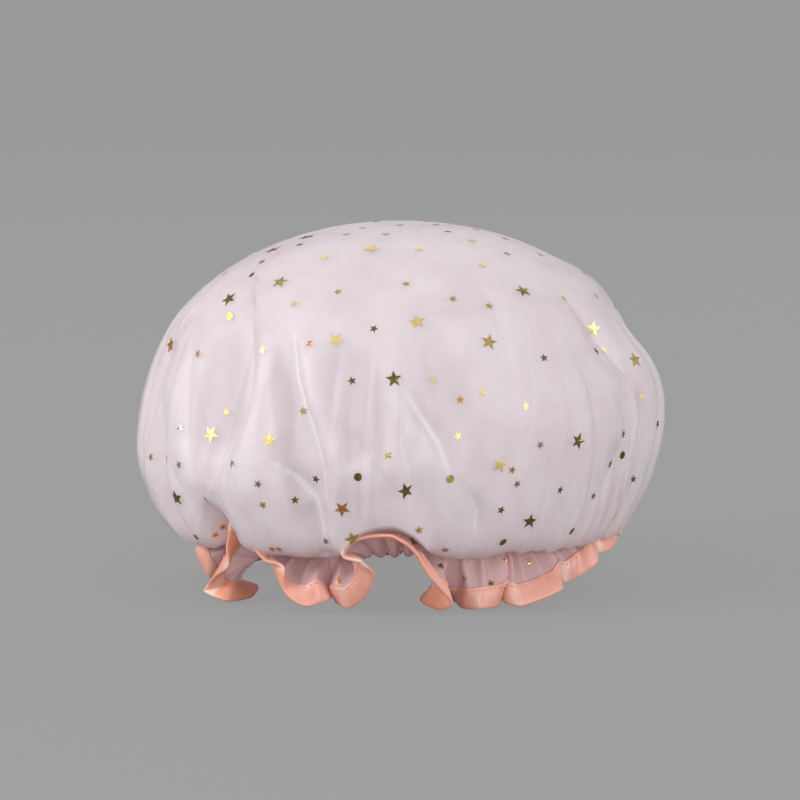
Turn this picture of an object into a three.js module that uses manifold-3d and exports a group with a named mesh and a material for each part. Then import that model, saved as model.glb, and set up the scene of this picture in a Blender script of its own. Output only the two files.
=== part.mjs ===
// A shower cap: sheer organza over a waterproof film lining, gathered together on an elastic
// band, with a satin bound frill below the band and gold foil stars and dots on the organza.
// Lengths are millimetres. The front faces -Y, the right side of the front view is +X, and
// +Z is up. The origin is on the floor, under the middle of the cap.

import * as THREE from 'three';
import Module from 'manifold-3d';
import { mergeVertices } from 'three/addons/utils/BufferGeometryUtils.js';

const wasm = await Module();
wasm.setup();

// Overall size of the crown
const capWidth = 270;
const capDepth = 250;
const capHeight = 185;

// Elastic ring: its radius and height at the middle of the cloth, and how far it rises to the
// right and drops to the left
const neckRadius = 80;
const neckHeight = 34;
const neckTiltHeight = 6.5;

// Casing and frill, measured along the cloth from the middle of the elastic
const casingHalf = 5;
const casingSlope = 12;
const frillWidth = 38;
const bindingWidth = 10;

// Cloth, film, tape, band and thread
const clothThickness = 0.6;
const filmThickness = 0.6;
const bindingThickness = 0.6;
const bindingFoldThickness = 1.1;
const elasticWidth = 5;
const elasticThickness = 0.8;
const threadSize = 0.5;
const stitchInset = 1.6;
const bartackLength = 6;
const bartackHeight = 3;
const bartackThickness = 0.5;

// Gaps between layers, between a raw edge and the fold of its tape, and between trim and cloth
const layerGap = 0.4;
const edgeGap = 0.8;
const seatGap = 0.3;

// How deep the lowest lobes are cut flat where they stand
const floorCut = 0.5;

// Foil pieces
const largeStarRadius = 4.4;
const smallStarRadius = 2.3;
const dotRadius = 2.1;
const foilThickness = 0.4;
const starWaistShare = 0.42;

// Gap between a raised flute and the crown's underside, and how wide the crown's rise over the
// flute is round the ring, in degrees
const fluteClearance = 7;
const fluteLiftSpread = 17;

// The photograph's view: how many pixels the crown spans across and up it, the view's slope
// above level, and the pixel where the origin shows
const crownPixels = { x: 528.4, y: 362 };
const photoSlope = 7.5;
const originPixel = { x: 399, y: 586 };

// Points round each kind of ring, and the crown's first ring that is as fine as the frill
const crownTurns = 12;
const bodyTurns = 36;
const frillTurns = 72;
const firstFineRow = 3;

// Crown profile from the pole down: how far out and how high each ring lies, as shares of the
// half width (or half depth) and of the height, first on the right and then on the left
const profileShares = [
  { outRight: 0.36, heightRight: 0.978, outLeft: 0.36, heightLeft: 0.974 },
  { outRight: 0.593, heightRight: 0.913, outLeft: 0.593, heightLeft: 0.909 },
  { outRight: 0.748, heightRight: 0.844, outLeft: 0.748, heightLeft: 0.825 },
  { outRight: 0.867, heightRight: 0.718, outLeft: 0.867, heightLeft: 0.719 },
  { outRight: 0.963, heightRight: 0.618, outLeft: 0.948, heightLeft: 0.551 },
  { outRight: 1.0, heightRight: 0.497, outLeft: 1.0, heightLeft: 0.365 },
  { outRight: 0.959, heightRight: 0.324, outLeft: 0.941, heightLeft: 0.246 },
  { outRight: 0.87, heightRight: 0.2, outLeft: 0.86, heightLeft: 0.16 },
  { outRight: 0.795, heightRight: 0.152, outLeft: 0.785, heightLeft: 0.13 },
];
const lowestRow = profileShares.length - 1;

// How much of its rise over a flute each of the crown's three lowest rings takes
const liftShares = [0.25, 0.8, 1];

// Soft folds of the crown: valleys that run down it, each with its place round the turn at its
// upper and its lower end, its spread, its depth as a share of the width, and the heights
// between which it lies
const foldShares = [
  { turnHigh: -0.208, turnLow: -0.17, spread: 0.017, depth: 0.016, low: 0.02, high: 0.68 },
  { turnHigh: -0.142, turnLow: -0.122, spread: 0.024, depth: 0.026, low: 0.2, high: 0.85 },
  { turnHigh: -0.092, turnLow: -0.049, spread: 0.018, depth: 0.02, low: 0.1, high: 0.76 },
  { turnHigh: 0.002, turnLow: 0.034, spread: 0.018, depth: 0.012, low: 0.06, high: 0.64 },
  { turnHigh: 0.072, turnLow: 0.08, spread: 0.018, depth: 0.01, low: -0.1, high: 0.58 },
  { turnHigh: 0.148, turnLow: 0.144, spread: 0.022, depth: 0.014, low: 0.04, high: 0.7 },
  { turnHigh: 0.206, turnLow: 0.196, spread: 0.016, depth: 0.014, low: -0.1, high: 0.56 },
  { turnHigh: 0.262, turnLow: 0.25, spread: 0.018, depth: 0.02, low: -0.06, high: 0.72 },
  { turnHigh: 0.33, turnLow: 0.31, spread: 0.022, depth: 0.024, low: 0.02, high: 0.8 },
  { turnHigh: 0.36, turnLow: 0.372, spread: 0.014, depth: 0.014, low: -0.1, high: 0.54 },
  { turnHigh: 0.408, turnLow: 0.424, spread: 0.02, depth: 0.02, low: 0.02, high: 0.72 },
  { turnHigh: 0.482, turnLow: 0.474, spread: 0.016, depth: 0.016, low: -0.08, high: 0.6 },
  { turnHigh: 0.522, turnLow: 0.53, spread: 0.016, depth: 0.018, low: -0.08, high: 0.66 },
  { turnHigh: 0.57, turnLow: 0.58, spread: 0.022, depth: 0.026, low: 0.04, high: 0.82 },
  { turnHigh: 0.63, turnLow: 0.62, spread: 0.016, depth: 0.014, low: -0.1, high: 0.56 },
  { turnHigh: 0.66, turnLow: 0.67, spread: 0.018, depth: 0.02, low: 0, high: 0.72 },
  { turnHigh: 0.712, turnLow: 0.72, spread: 0.018, depth: 0.018, low: -0.08, high: 0.62 },
  { turnHigh: 0.752, turnLow: 0.766, spread: 0.018, depth: 0.018, low: -0.04, high: 0.7 },
];

// Frill, listed round the ring from the front to the right, in degrees: each entry is a fold
// and the hanging stretch after it. A flute flares far outwards, and a tuck is a narrow fold
// turned in under the cap or, where its flare is above 0, outwards. Flare is 0 where the cloth
// hangs straight down, and spread is half a fold's width round the ring. Lean sways the hem
// along the ring: splay is how far a fold's sides lean away from its middle, and the stretch
// after it leans back by leanIn at its start and on by leanOut at its end, so that neighbouring
// folds lap over each other.
const folds = [
  { kind: 'flute', turn: -4, spread: 4.6, flare: 107, splay: 24, next: 11.6, hang: 8, leanIn: 0, leanOut: 10 },
  { kind: 'tuck', turn: 16.5, spread: 2.1, flare: -32, splay: 2, next: 24, hang: 6, leanIn: 10, leanOut: 10 },
  { kind: 'tuck', turn: 31, spread: 2.1, flare: -32, splay: 2, next: 45, hang: 8, leanIn: 10, leanOut: 12 },
  { kind: 'tuck', turn: 59, spread: 2.2, flare: -20, splay: 2, next: 67, hang: 42, leanIn: 6, leanOut: 2 },
  { kind: 'tuck', turn: 76, spread: 2.6, flare: 22, splay: 2, next: 85, hang: 66, leanIn: 2, leanOut: 0 },
  { kind: 'flute', turn: 103, spread: 6, flare: 108, splay: 22, next: 119, hang: 30, leanIn: 2, leanOut: 6 },
  { kind: 'tuck', turn: 131, spread: 2.1, flare: -30, splay: 2, next: 142, hang: 10, leanIn: 10, leanOut: 0 },
  { kind: 'flute', turn: 157, spread: 5.5, flare: 104, splay: 26, next: 172, hang: 10, leanIn: 2, leanOut: 8 },
  { kind: 'tuck', turn: 183, spread: 2.1, flare: -32, splay: 2, next: 194, hang: 14, leanIn: 10, leanOut: 0 },
  { kind: 'flute', turn: 210, spread: 6, flare: 110, splay: 26, next: 226, hang: 34, leanIn: 2, leanOut: 8 },
  { kind: 'tuck', turn: 237, spread: 3.4, flare: 58, splay: 8, next: 247, hang: 30, leanIn: 10, leanOut: 0 },
  { kind: 'flute', turn: 261, spread: 6, flare: 40, splay: 5, next: 278, hang: 26, leanIn: 0, leanOut: 6 },
  { kind: 'tuck', turn: 287, spread: 3.4, flare: 80, splay: 8, next: 296, hang: 40, leanIn: 8, leanOut: -6 },
  { kind: 'flute', turn: 308, spread: 5, flare: 122, splay: 18, next: 323, hang: 34, leanIn: -6, leanOut: 6 },
  { kind: 'tuck', turn: 338, spread: 2.1, flare: -28, splay: 2, next: 345, hang: 16, leanIn: 10, leanOut: 2 },
];

// How much of the flare and of the lean the frill has taken up along its free part and its tape
const bendShares = [0.95, 1.15];
const swayShares = [0.8, 1.3];

// How far a flute's sides have come down from its crest, and how far the hanging cloth beside
// a fold has been drawn towards it
const fluteSideShare = 0.2;
const hangEdgeShares = { flute: 0.2, tuck: 0.12 };

// Place of a hanging stretch's edges, between its middle and the side of the next fold
const hangEdgeShare = 0.5;

// Foil pieces on the front, each at the pixel of the photograph where it is seen
const frontFoilPixels = [
  { x: 371, y: 249, kind: 'large' }, { x: 280, y: 282, kind: 'large' }, { x: 229, y: 299, kind: 'large' },
  { x: 171, y: 345, kind: 'large' }, { x: 336, y: 340, kind: 'large' }, { x: 394, y: 379, kind: 'large' },
  { x: 523, y: 291, kind: 'large' }, { x: 417, y: 322, kind: 'large' }, { x: 489, y: 342, kind: 'large' },
  { x: 593, y: 329, kind: 'large' }, { x: 635, y: 360, kind: 'large' }, { x: 211, y: 434, kind: 'large' },
  { x: 269, y: 440, kind: 'large' }, { x: 176, y: 498, kind: 'large' }, { x: 342, y: 509, kind: 'large' },
  { x: 406, y: 491, kind: 'large' }, { x: 500, y: 465, kind: 'large' }, { x: 578, y: 441, kind: 'large' },
  { x: 530, y: 521, kind: 'large' }, { x: 324, y: 257, kind: 'dot' }, { x: 472, y: 241, kind: 'dot' },
  { x: 230, y: 316, kind: 'dot' }, { x: 450, y: 479, kind: 'dot' }, { x: 358, y: 477, kind: 'dot' },
  { x: 622, y: 455, kind: 'dot' }, { x: 572, y: 523, kind: 'dot' }, { x: 406, y: 284, kind: 'small' },
  { x: 352, y: 381, kind: 'small' }, { x: 388, y: 455, kind: 'small' }, { x: 544, y: 358, kind: 'small' },
];

// Foil pieces on the back and sides follow a golden angle, so that no two line up
const backFoilCount = 14;
const goldenTurn = 0.61803399;
const backTurnShares = { first: 0.27, span: 0.46 };
const backHeightShares = { low: 0.34, high: 0.93 };
const backFoilKinds = ['large', 'small', 'large', 'dot', 'large', 'small', 'large'];

const halfTurn = Math.PI;
const fullTurn = 2 * Math.PI;
const radians = THREE.MathUtils.degToRad;
const mix = THREE.MathUtils.lerp;
const up = new THREE.Vector3(0, 0, 1);

// Distances from the middle surface, between organza and film, out to each face
const clothInside = layerGap / 2;
const clothOutside = clothInside + clothThickness;
const filmOutside = -layerGap / 2;
const filmInside = filmOutside - filmThickness;
const tapeInside = clothOutside + seatGap;
const tapeOutside = tapeInside + bindingThickness;

// The film dips inwards behind the elastic by just enough to clear it
const channelDepth = (elasticThickness + 2 * seatGap - layerGap) / (1 - elasticWidth / 2 / casingHalf);

// The tape's fold passes the raw edge by this much
const tapeOverrun = edgeGap + bindingFoldThickness;
const freeWidth = frillWidth - casingHalf - bindingWidth;

// Direction away from the axis, and along the ring towards the right
function radialAt(turn) {
  return new THREE.Vector3(Math.sin(turn), -Math.cos(turn), 0);
}

function tangentAt(turn) {
  return new THREE.Vector3(Math.cos(turn), Math.sin(turn), 0);
}

// Smallest angle between two turns
function turnApart(a, b) {
  const apart = (((a - b) % fullTurn) + fullTurn) % fullTurn;
  return Math.min(apart, fullTurn - apart);
}

// The frill's samples round the ring: where each starts, how it flares and how it leans
function frillSamples() {
  const samples = [];
  folds.forEach((fold, i) => {
    const after = folds[(i + 1) % folds.length];
    const afterTurn = after.turn < fold.turn ? after.turn + 360 : after.turn;
    const before = folds[(i + folds.length - 1) % folds.length];
    const middle = fold.next;
    const end = fold.turn + fold.spread;
    const start = afterTurn - after.spread;
    const isFlute = fold.kind === 'flute';
    const sideShare = isFlute ? fluteSideShare : 0;
    samples.push({
      turn: fold.turn - fold.spread,
      flare: mix(fold.flare, before.hang, sideShare),
      lean: -fold.splay,
    });
    if (isFlute) samples.push({ turn: fold.turn, flare: fold.flare, lean: 0 });
    samples.push({ turn: end, flare: mix(fold.flare, fold.hang, sideShare), lean: fold.splay });
    samples.push({
      turn: mix(middle, end, hangEdgeShare),
      flare: mix(fold.hang, fold.flare, hangEdgeShares[fold.kind]),
      lean: -fold.leanIn,
    });
    if (isFlute) samples.push({ turn: middle, flare: fold.hang, lean: 0 });
    samples.push({
      turn: mix(middle, start, hangEdgeShare),
      flare: mix(fold.hang, after.flare, hangEdgeShares[after.kind]),
      lean: fold.leanOut,
    });
  });
  const inRadians = samples.map((s) => ({
    turn: radians(s.turn),
    flare: radians(s.flare),
    lean: radians(s.lean),
  }));
  return startAtFront(inRadians);
}

// Rolls the list so that its first sample is the one nearest the front
function startAtFront(samples) {
  let first = 0;
  samples.forEach((s, i) => {
    if (turnApart(s.turn, 0) < turnApart(samples[first].turn, 0)) first = i;
  });
  return samples.map((s, i) => samples[(i + first) % samples.length]);
}

// Direction of the frill's cloth where it flares and leans by the given shares
function frillDirection(sample, bendShare, swayShare) {
  const flare = sample.flare * bendShare;
  const lean = sample.lean * swayShare;
  return radialAt(sample.turn)
    .multiplyScalar(Math.sin(flare) * Math.cos(lean))
    .addScaledVector(up, -Math.cos(flare) * Math.cos(lean))
    .addScaledVector(tangentAt(sample.turn), Math.sin(lean));
}

// A point of the casing: above the elastic for a positive reach, below it for a negative one
function casingPoint(turn, reach) {
  const out = neckRadius + Math.abs(reach) * Math.sin(radians(casingSlope));
  const height = neckHeight + neckTiltHeight * Math.sin(turn) + reach * Math.cos(radians(casingSlope));
  return radialAt(turn).multiplyScalar(out).addScaledVector(up, height);
}

function tapeTopPoint(sample) {
  const direction = frillDirection(sample, bendShares[0], swayShares[0]);
  return casingPoint(sample.turn, -casingHalf).addScaledVector(direction, freeWidth);
}

function hemPoint(sample) {
  const direction = frillDirection(sample, bendShares[1], swayShares[1]);
  return tapeTopPoint(sample).addScaledVector(direction, bindingWidth);
}

// Lowest corner of the folded tape below a sample's hem
function tapeBottom(sample) {
  const direction = frillDirection(sample, bendShares[1], swayShares[1]);
  const sideways = Math.hypot(direction.x, direction.y);
  return hemPoint(sample).z + direction.z * tapeOverrun - sideways * tapeOutside;
}

// A hem that would pass through the floor is flared until it just rests there
function restOnFloor(sample) {
  const side = sample.flare < 0 ? -1 : 1;
  const rested = { ...sample };
  let near = Math.abs(sample.flare);
  let far = halfTurn / 2;
  if (tapeBottom(rested) >= -floorCut) return rested;
  while (far - near > radians(0.01)) {
    const middle = (near + far) / 2;
    rested.flare = side * middle;
    if (tapeBottom(rested) < -floorCut) near = middle;
    else far = middle;
  }
  return rested;
}

// Depth of the crown's soft folds at a place
function foldDepth(turn, heightShare) {
  return foldShares.reduce((sum, fold) => {
    const raised = THREE.MathUtils.clamp((heightShare - fold.low) / (fold.high - fold.low), 0, 1);
    const place = mix(fold.turnLow, fold.turnHigh, raised);
    const across = turnApart(turn, place * fullTurn) / (fold.spread * fullTurn);
    const fade = 4 * raised * (1 - raised);
    return sum + fold.depth * capWidth * fade * Math.exp(-across * across);
  }, 0);
}

// A value of one of the profile's rings at a turn, between its left and its right
function profileAt(row, turn, name) {
  const ring = profileShares[row];
  return mix(ring[`${name}Left`], ring[`${name}Right`], (1 + Math.sin(turn)) / 2);
}

// How far the crown's underside rises at a place, to clear the flutes near it
function liftAt(turn) {
  return folds
    .filter((fold) => fold.kind === 'flute')
    .reduce((sum, fold) => {
      const crest = { turn: radians(fold.turn), flare: radians(fold.flare), lean: 0 };
      const wanted = hemPoint(crest).z + fluteClearance;
      const rise = wanted - profileAt(lowestRow, crest.turn, 'height') * capHeight;
      const across = turnApart(turn, crest.turn) / radians(fluteLiftSpread);
      return sum + Math.max(0, rise) * Math.exp(-across * across);
    }, 0);
}

// A point of the crown's middle surface on one of the profile's rings
function bodyPoint(row, turn) {
  const out = profileAt(row, turn, 'out');
  const heightShare = profileAt(row, turn, 'height');
  const dent = foldDepth(turn, heightShare);
  const liftShare = liftShares[row - lowestRow + liftShares.length - 1] ?? 0;
  return new THREE.Vector3(
    (out * (capWidth / 2 - clothOutside) - dent) * Math.sin(turn),
    -(out * (capDepth / 2 - clothOutside) - dent) * Math.cos(turn),
    heightShare * (capHeight - clothOutside) + liftShare * liftAt(turn),
  );
}

// Points round a ring of the crown: the lower it lies, the finer it is
function ringTurns(row) {
  if (row === 0) return crownTurns;
  return row < firstFineRow ? bodyTurns : frillTurns;
}

// Turn of a point of a crown ring: even steps at the top, drifting towards the frill's own
// samples on the lowest rings
function bodyTurn(row, step, samples) {
  const even = (step / ringTurns(row)) * fullTurn;
  const sampled = samples[(step * frillTurns) / ringTurns(row)].turn;
  const drift = Math.atan2(Math.sin(sampled - even), Math.cos(sampled - even));
  const driftShare = Math.max(0, (row - lowestRow + 2) / 3);
  return even + drift * driftShare;
}

// Triangles between an upper ring and a lower one with as many points, or a whole multiple
function bridgeRings(triangles, upper, lower) {
  const ratio = lower.count / upper.count;
  const turnover = Math.ceil(ratio / 2);
  for (let i = 0; i < upper.count; i += 1) {
    const here = upper.start + i;
    const beside = upper.start + ((i + 1) % upper.count);
    for (let j = 0; j < ratio; j += 1) {
      const low = lower.start + i * ratio + j;
      const lowNext = lower.start + ((i * ratio + j + 1) % lower.count);
      triangles.push([j < turnover ? here : beside, low, lowNext]);
      if (j === turnover - 1) triangles.push([here, lowNext, beside]);
    }
  }
}

// The middle surface shared by every layer: its points, its rings and its triangles
function buildSurface() {
  const samples = frillSamples().map(restOnFloor);
  const points = [up.clone().multiplyScalar(capHeight - clothOutside)];
  const rings = [{ start: 0, count: 1 }];
  const addRing = (ringPoints) => {
    rings.push({ start: points.length, count: ringPoints.length });
    points.push(...ringPoints);
  };
  profileShares.forEach((ring, row) => {
    const steps = Array.from({ length: ringTurns(row) }, (_, i) => i);
    addRing(steps.map((step) => bodyPoint(row, bodyTurn(row, step, samples))));
  });
  addRing(samples.map((s) => casingPoint(s.turn, casingHalf)));
  addRing(samples.map((s) => casingPoint(s.turn, 0)));
  addRing(samples.map((s) => casingPoint(s.turn, -casingHalf)));
  addRing(samples.map(tapeTopPoint));
  addRing(samples.map(hemPoint));
  const triangles = [];
  for (let i = 0; i < rings[1].count; i += 1) {
    triangles.push([0, rings[1].start + i, rings[1].start + ((i + 1) % rings[1].count)]);
  }
  for (let r = 1; r < rings.length - 1; r += 1) bridgeRings(triangles, rings[r], rings[r + 1]);
  const [hem, tape, lower, neck, upper] = [...rings].reverse();
  return { points, rings, triangles, samples, hem, tape, lower, neck, upper, ...pointNormals(points, triangles) };
}

// Mean normal at each point, and how much further a point moves so that the faces beside it
// move by the wanted distance
function pointNormals(points, triangles) {
  const normals = points.map(() => new THREE.Vector3());
  const faces = triangles.map(([a, b, c]) => {
    const side = points[b].clone().sub(points[a]);
    const other = points[c].clone().sub(points[a]);
    return side.cross(other).normalize();
  });
  const cornerAngle = (at, from, to) => {
    const one = points[from].clone().sub(points[at]);
    return one.angleTo(points[to].clone().sub(points[at]));
  };
  triangles.forEach(([a, b, c], i) => {
    normals[a].addScaledVector(faces[i], cornerAngle(a, b, c));
    normals[b].addScaledVector(faces[i], cornerAngle(b, c, a));
    normals[c].addScaledVector(faces[i], cornerAngle(c, a, b));
  });
  normals.forEach((n) => n.normalize());
  const leasts = points.map(() => 1);
  triangles.forEach((corners, i) => {
    corners.forEach((p) => {
      leasts[p] = Math.min(leasts[p], normals[p].dot(faces[i]));
    });
  });
  const steepest = 0.8;
  const miters = leasts.map((least) => 1 / Math.max((1 + least) / 2, steepest));
  return { normals, miters };
}

const surface = buildSurface();

// A point of the middle surface moved along its normal, and then on past the hem
function offsetPoint(index, distance, beyond = 0) {
  const point = surface.points[index]
    .clone()
    .addScaledVector(surface.normals[index], distance * surface.miters[index]);
  if (beyond > 0) {
    const sample = surface.samples[index - surface.hem.start];
    point.addScaledVector(frillDirection(sample, bendShares[1], swayShares[1]), beyond);
  }
  return point;
}

function geometryFrom(points, triangles) {
  const geometry = new THREE.BufferGeometry();
  const numbers = points.flatMap((p) => [p.x, p.y, p.z]);
  geometry.setAttribute('position', new THREE.Float32BufferAttribute(numbers, 3));
  geometry.setIndex(triangles.flat());
  return geometry;
}

// A closed layer of cloth between two distances from the middle surface, which may differ
// from ring to ring, closed along its raw edge
function layerGeometry(outerAt, innerAt) {
  const { points, rings, triangles, hem } = surface;
  const outer = [];
  const inner = [];
  rings.forEach((ring, r) => {
    for (let i = 0; i < ring.count; i += 1) {
      outer.push(offsetPoint(ring.start + i, outerAt(r)));
      inner.push(offsetPoint(ring.start + i, innerAt(r)));
    }
  });
  const count = points.length;
  const faces = triangles.map((t) => [...t]);
  triangles.forEach(([a, b, c]) => faces.push([count + a, count + c, count + b]));
  for (let i = 0; i < hem.count; i += 1) {
    const here = hem.start + i;
    const next = hem.start + ((i + 1) % hem.count);
    faces.push([here, count + here, count + next]);
    faces.push([here, count + next, next]);
  }
  return geometryFrom([...outer, ...inner], faces);
}

// A closed band swept round the ring, from closed sections of points in their order. The
// levels tell which points of the section lie further down the cloth, so that the band's
// facets are split the same way as the cloth's.
function sweptGeometry(sections, levels) {
  const size = levels.length;
  const faces = [];
  sections.forEach((section, i) => {
    const next = (i + 1) % sections.length;
    for (let j = 0; j < size; j += 1) {
      const k = (j + 1) % size;
      const [here, below] = [i * size + j, i * size + k];
      const [beside, across] = [next * size + j, next * size + k];
      if (levels[k] >= levels[j]) faces.push([here, below, across], [here, across, beside]);
      else faces.push([here, below, beside], [below, across, beside]);
    }
  });
  return geometryFrom(sections.flat(), faces);
}

const bindingLevels = [0, 1, 2, 3, 4, 1, 0, 0, 1, 4, 3, 2, 1, 0];
const elasticLevels = [0, 1, 2, 2, 1, 0];
const threadLevels = [0, 1, 1, 0];

// Folded tape over the raw edges: down the outside, round below, and up the inside
function bindingSection(i) {
  const top = surface.tape.start + i;
  const edge = surface.hem.start + i;
  return [
    offsetPoint(top, tapeOutside),
    offsetPoint(edge, tapeOutside),
    offsetPoint(edge, tapeOutside, tapeOverrun),
    offsetPoint(edge, 0, tapeOverrun),
    offsetPoint(edge, -tapeOutside, tapeOverrun),
    offsetPoint(edge, -tapeOutside),
    offsetPoint(top, -tapeOutside),
    offsetPoint(top, -tapeInside),
    offsetPoint(edge, -tapeInside),
    offsetPoint(edge, -tapeInside, edgeGap),
    offsetPoint(edge, 0, edgeGap),
    offsetPoint(edge, tapeInside, edgeGap),
    offsetPoint(edge, tapeInside),
    offsetPoint(top, tapeInside),
  ];
}

function toSolid(geometry) {
  const bare = geometry.clone();
  bare.deleteAttribute('normal');
  bare.deleteAttribute('uv');
  const merged = mergeVertices(bare);
  return new wasm.Manifold(
    new wasm.Mesh({
      numProp: 3,
      vertProperties: new Float32Array(merged.attributes.position.array),
      triVerts: new Uint32Array(merged.index.array),
    }),
  );
}

function fromSolid(solid) {
  const mesh = solid.getMesh();
  const geometry = new THREE.BufferGeometry();
  geometry.setAttribute('position', new THREE.Float32BufferAttribute(mesh.vertProperties, 3));
  geometry.setIndex(Array.from(mesh.triVerts));
  return geometry;
}

// Everything below the floor is cut away, which leaves the lowest folds flat
function cutAtFloor(geometry) {
  const reach = capWidth + capDepth;
  const below = new THREE.BoxGeometry(reach, reach, reach);
  below.translate(0, 0, -reach / 2);
  return fromSolid(toSolid(geometry).subtract(toSolid(below)));
}

// Point part of the way along the cloth from one ring to another, at a distance from it
function pointBetween(fromRing, toRing, i, share, distance) {
  const from = offsetPoint(fromRing.start + i, distance);
  const to = offsetPoint(toRing.start + i, distance);
  return from.lerp(to, share);
}

// Band in its channel: its outer face lies off the organza, its inner face off the film
function elasticSection(i) {
  const { upper, neck, lower } = surface;
  const share = elasticWidth / 2 / casingHalf;
  const outer = clothInside - seatGap;
  const inner = outer - elasticThickness;
  return [
    pointBetween(neck, upper, i, share, outer),
    offsetPoint(neck.start + i, outer),
    pointBetween(neck, lower, i, share, outer),
    pointBetween(neck, lower, i, share, inner),
    offsetPoint(neck.start + i, inner),
    pointBetween(neck, upper, i, share, inner),
  ];
}

// Section of a thread of square section that lies along the cloth, at a share of the way from
// one ring's point to another's, with its near face at a distance from the middle surface
function threadSection(from, to, share, span, distance) {
  const half = threadSize / 2 / span;
  const place = (along, away) => offsetPoint(from, away).lerp(offsetPoint(to, away), along);
  const far = distance + threadSize;
  return [
    place(share - half, far),
    place(share + half, far),
    place(share + half, distance),
    place(share - half, distance),
  ];
}

// Thread along a casing row, just off the organza, at a share of the way down between two rings
function casingThread(above, below, share) {
  return surface.samples.map((_, i) => (
    threadSection(above.start + i, below.start + i, share, casingHalf, clothOutside + seatGap)
  ));
}

// Thread inside the tape's upper edge, just off the tape: it bends where it crosses each facet's
// own diagonal too
function bindingThread() {
  const { tape, hem, samples } = surface;
  const share = stitchInset / bindingWidth;
  const distance = tapeOutside + seatGap;
  return samples.flatMap((_, i) => {
    const next = (i + 1) % samples.length;
    return [hem.start + i, hem.start + next].map((low) => (
      threadSection(tape.start + i, low, share, bindingWidth, distance)
    ));
  });
}

function material(colour, roughness, metalness = 0) {
  return new THREE.MeshStandardMaterial({ color: colour, roughness, metalness });
}

const organza = material('#ece2e4', 0.6);
const film = material('#e6dadd', 0.45);
const satin = material('#e79a86', 0.35);
const knit = material('#efe9e6', 0.85);
const thread = material('#f0b3a3', 0.6);
const whiteThread = material('#f2ecec', 0.6);
const goldFoil = material('#c9a443', 0.3, 1);

const cap = new THREE.Group();

function addPiece(name, geometry, finish) {
  const mesh = new THREE.Mesh(geometry, finish);
  mesh.name = name;
  cap.add(mesh);
  return mesh;
}

// Distances of the film's faces: they dip inwards on the elastic's own ring
function filmOffset(distance) {
  const neckIndex = surface.rings.indexOf(surface.neck);
  return (ring) => distance - (ring === neckIndex ? channelDepth : 0);
}

function addLayers() {
  const organzaLayer = layerGeometry(() => clothOutside, () => clothInside);
  addPiece('outer_cover', organzaLayer, organza);
  const filmLayer = layerGeometry(filmOffset(filmOutside), filmOffset(filmInside));
  addPiece('waterproof_lining', filmLayer, film);
}

function addHem() {
  const tape = sweptGeometry(surface.samples.map((_, i) => bindingSection(i)), bindingLevels);
  addPiece('hem_binding', cutAtFloor(tape), satin);
  addPiece('binding_stitch', sweptGeometry(bindingThread(), threadLevels), thread);
}

function addCasing() {
  const { upper, neck, lower, samples } = surface;
  const band = sweptGeometry(samples.map((_, i) => elasticSection(i)), elasticLevels);
  addPiece('elastic_band', band, knit);
  const edgeShare = threadSize / 2 / casingHalf;
  const above = sweptGeometry(casingThread(upper, neck, edgeShare), threadLevels);
  addPiece('casing_stitch_upper', above, whiteThread);
  const below = sweptGeometry(casingThread(neck, lower, 1 - edgeShare), threadLevels);
  addPiece('casing_stitch_lower', below, whiteThread);
}

// Bartack through the lapped ends of the elastic, on the film's inner face at the back
function addElasticJoin() {
  const { upper, neck, samples } = surface;
  const back = samples.reduce(
    (best, s, i) => (turnApart(s.turn, halfTurn) < turnApart(samples[best].turn, halfTurn) ? i : best),
    0,
  );
  const next = (back + 1) % samples.length;
  const corners = [neck.start + back, neck.start + next].map((p) => offsetPoint(p, filmInside - channelDepth));
  const tops = [upper.start + back, upper.start + next].map((p) => offsetPoint(p, filmInside));
  const along = corners[1].clone().sub(corners[0]).normalize();
  const upwards = tops[0].clone().sub(corners[0]).normalize();
  const inwards = upwards.clone().cross(along).normalize();
  const middle = corners[0].clone().add(corners[1]).add(tops[0]).add(tops[1]).divideScalar(4);
  const bartack = new THREE.BoxGeometry(bartackLength, bartackHeight, bartackThickness);
  const mesh = addPiece('elastic_join', bartack, whiteThread);
  const squared = inwards.clone().cross(along);
  mesh.quaternion.setFromRotationMatrix(new THREE.Matrix4().makeBasis(along, squared, inwards));
  mesh.position.copy(middle).addScaledVector(inwards, seatGap + bartackThickness / 2);
}

function starGeometry(radius) {
  const shape = new THREE.Shape();
  for (let i = 0; i < 10; i += 1) {
    const reach = i % 2 === 0 ? radius : radius * starWaistShare;
    const angle = (i / 10) * fullTurn + halfTurn / 2;
    const x = reach * Math.cos(angle);
    const y = reach * Math.sin(angle);
    if (i === 0) shape.moveTo(x, y);
    else shape.lineTo(x, y);
  }
  shape.closePath();
  return new THREE.ExtrudeGeometry(shape, { depth: foilThickness, bevelEnabled: false });
}

function dotGeometry() {
  const dot = new THREE.CylinderGeometry(dotRadius, dotRadius, foilThickness, 12);
  dot.rotateX(halfTurn / 2);
  dot.translate(0, 0, foilThickness / 2);
  return dot;
}

const foilReaches = { large: largeStarRadius, small: smallStarRadius, dot: dotRadius };

const foilShapes = {
  large: () => starGeometry(largeStarRadius),
  small: () => starGeometry(smallStarRadius),
  dot: dotGeometry,
};

// The organza's outer faces on the crown, each with its middle, its outward direction, and
// how far its neighbours let a foil piece reach from that middle
function crownFaces() {
  const { triangles, upper } = surface;
  const faces = triangles
    .filter((corners) => corners.every((p) => p > 0 && p < upper.start))
    .map((corners) => {
      const spots = corners.map((p) => offsetPoint(p, clothOutside));
      const [a, b, c] = spots;
      const middle = a.clone().add(b).add(c).divideScalar(3);
      const normal = b.clone().sub(a).cross(c.clone().sub(a)).normalize();
      return { corners, spots, middle, normal, used: false };
    });
  faces.forEach((face) => {
    face.room = Math.min(...faces.map((other) => roomBeside(face, other)));
  });
  return faces;
}

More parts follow.
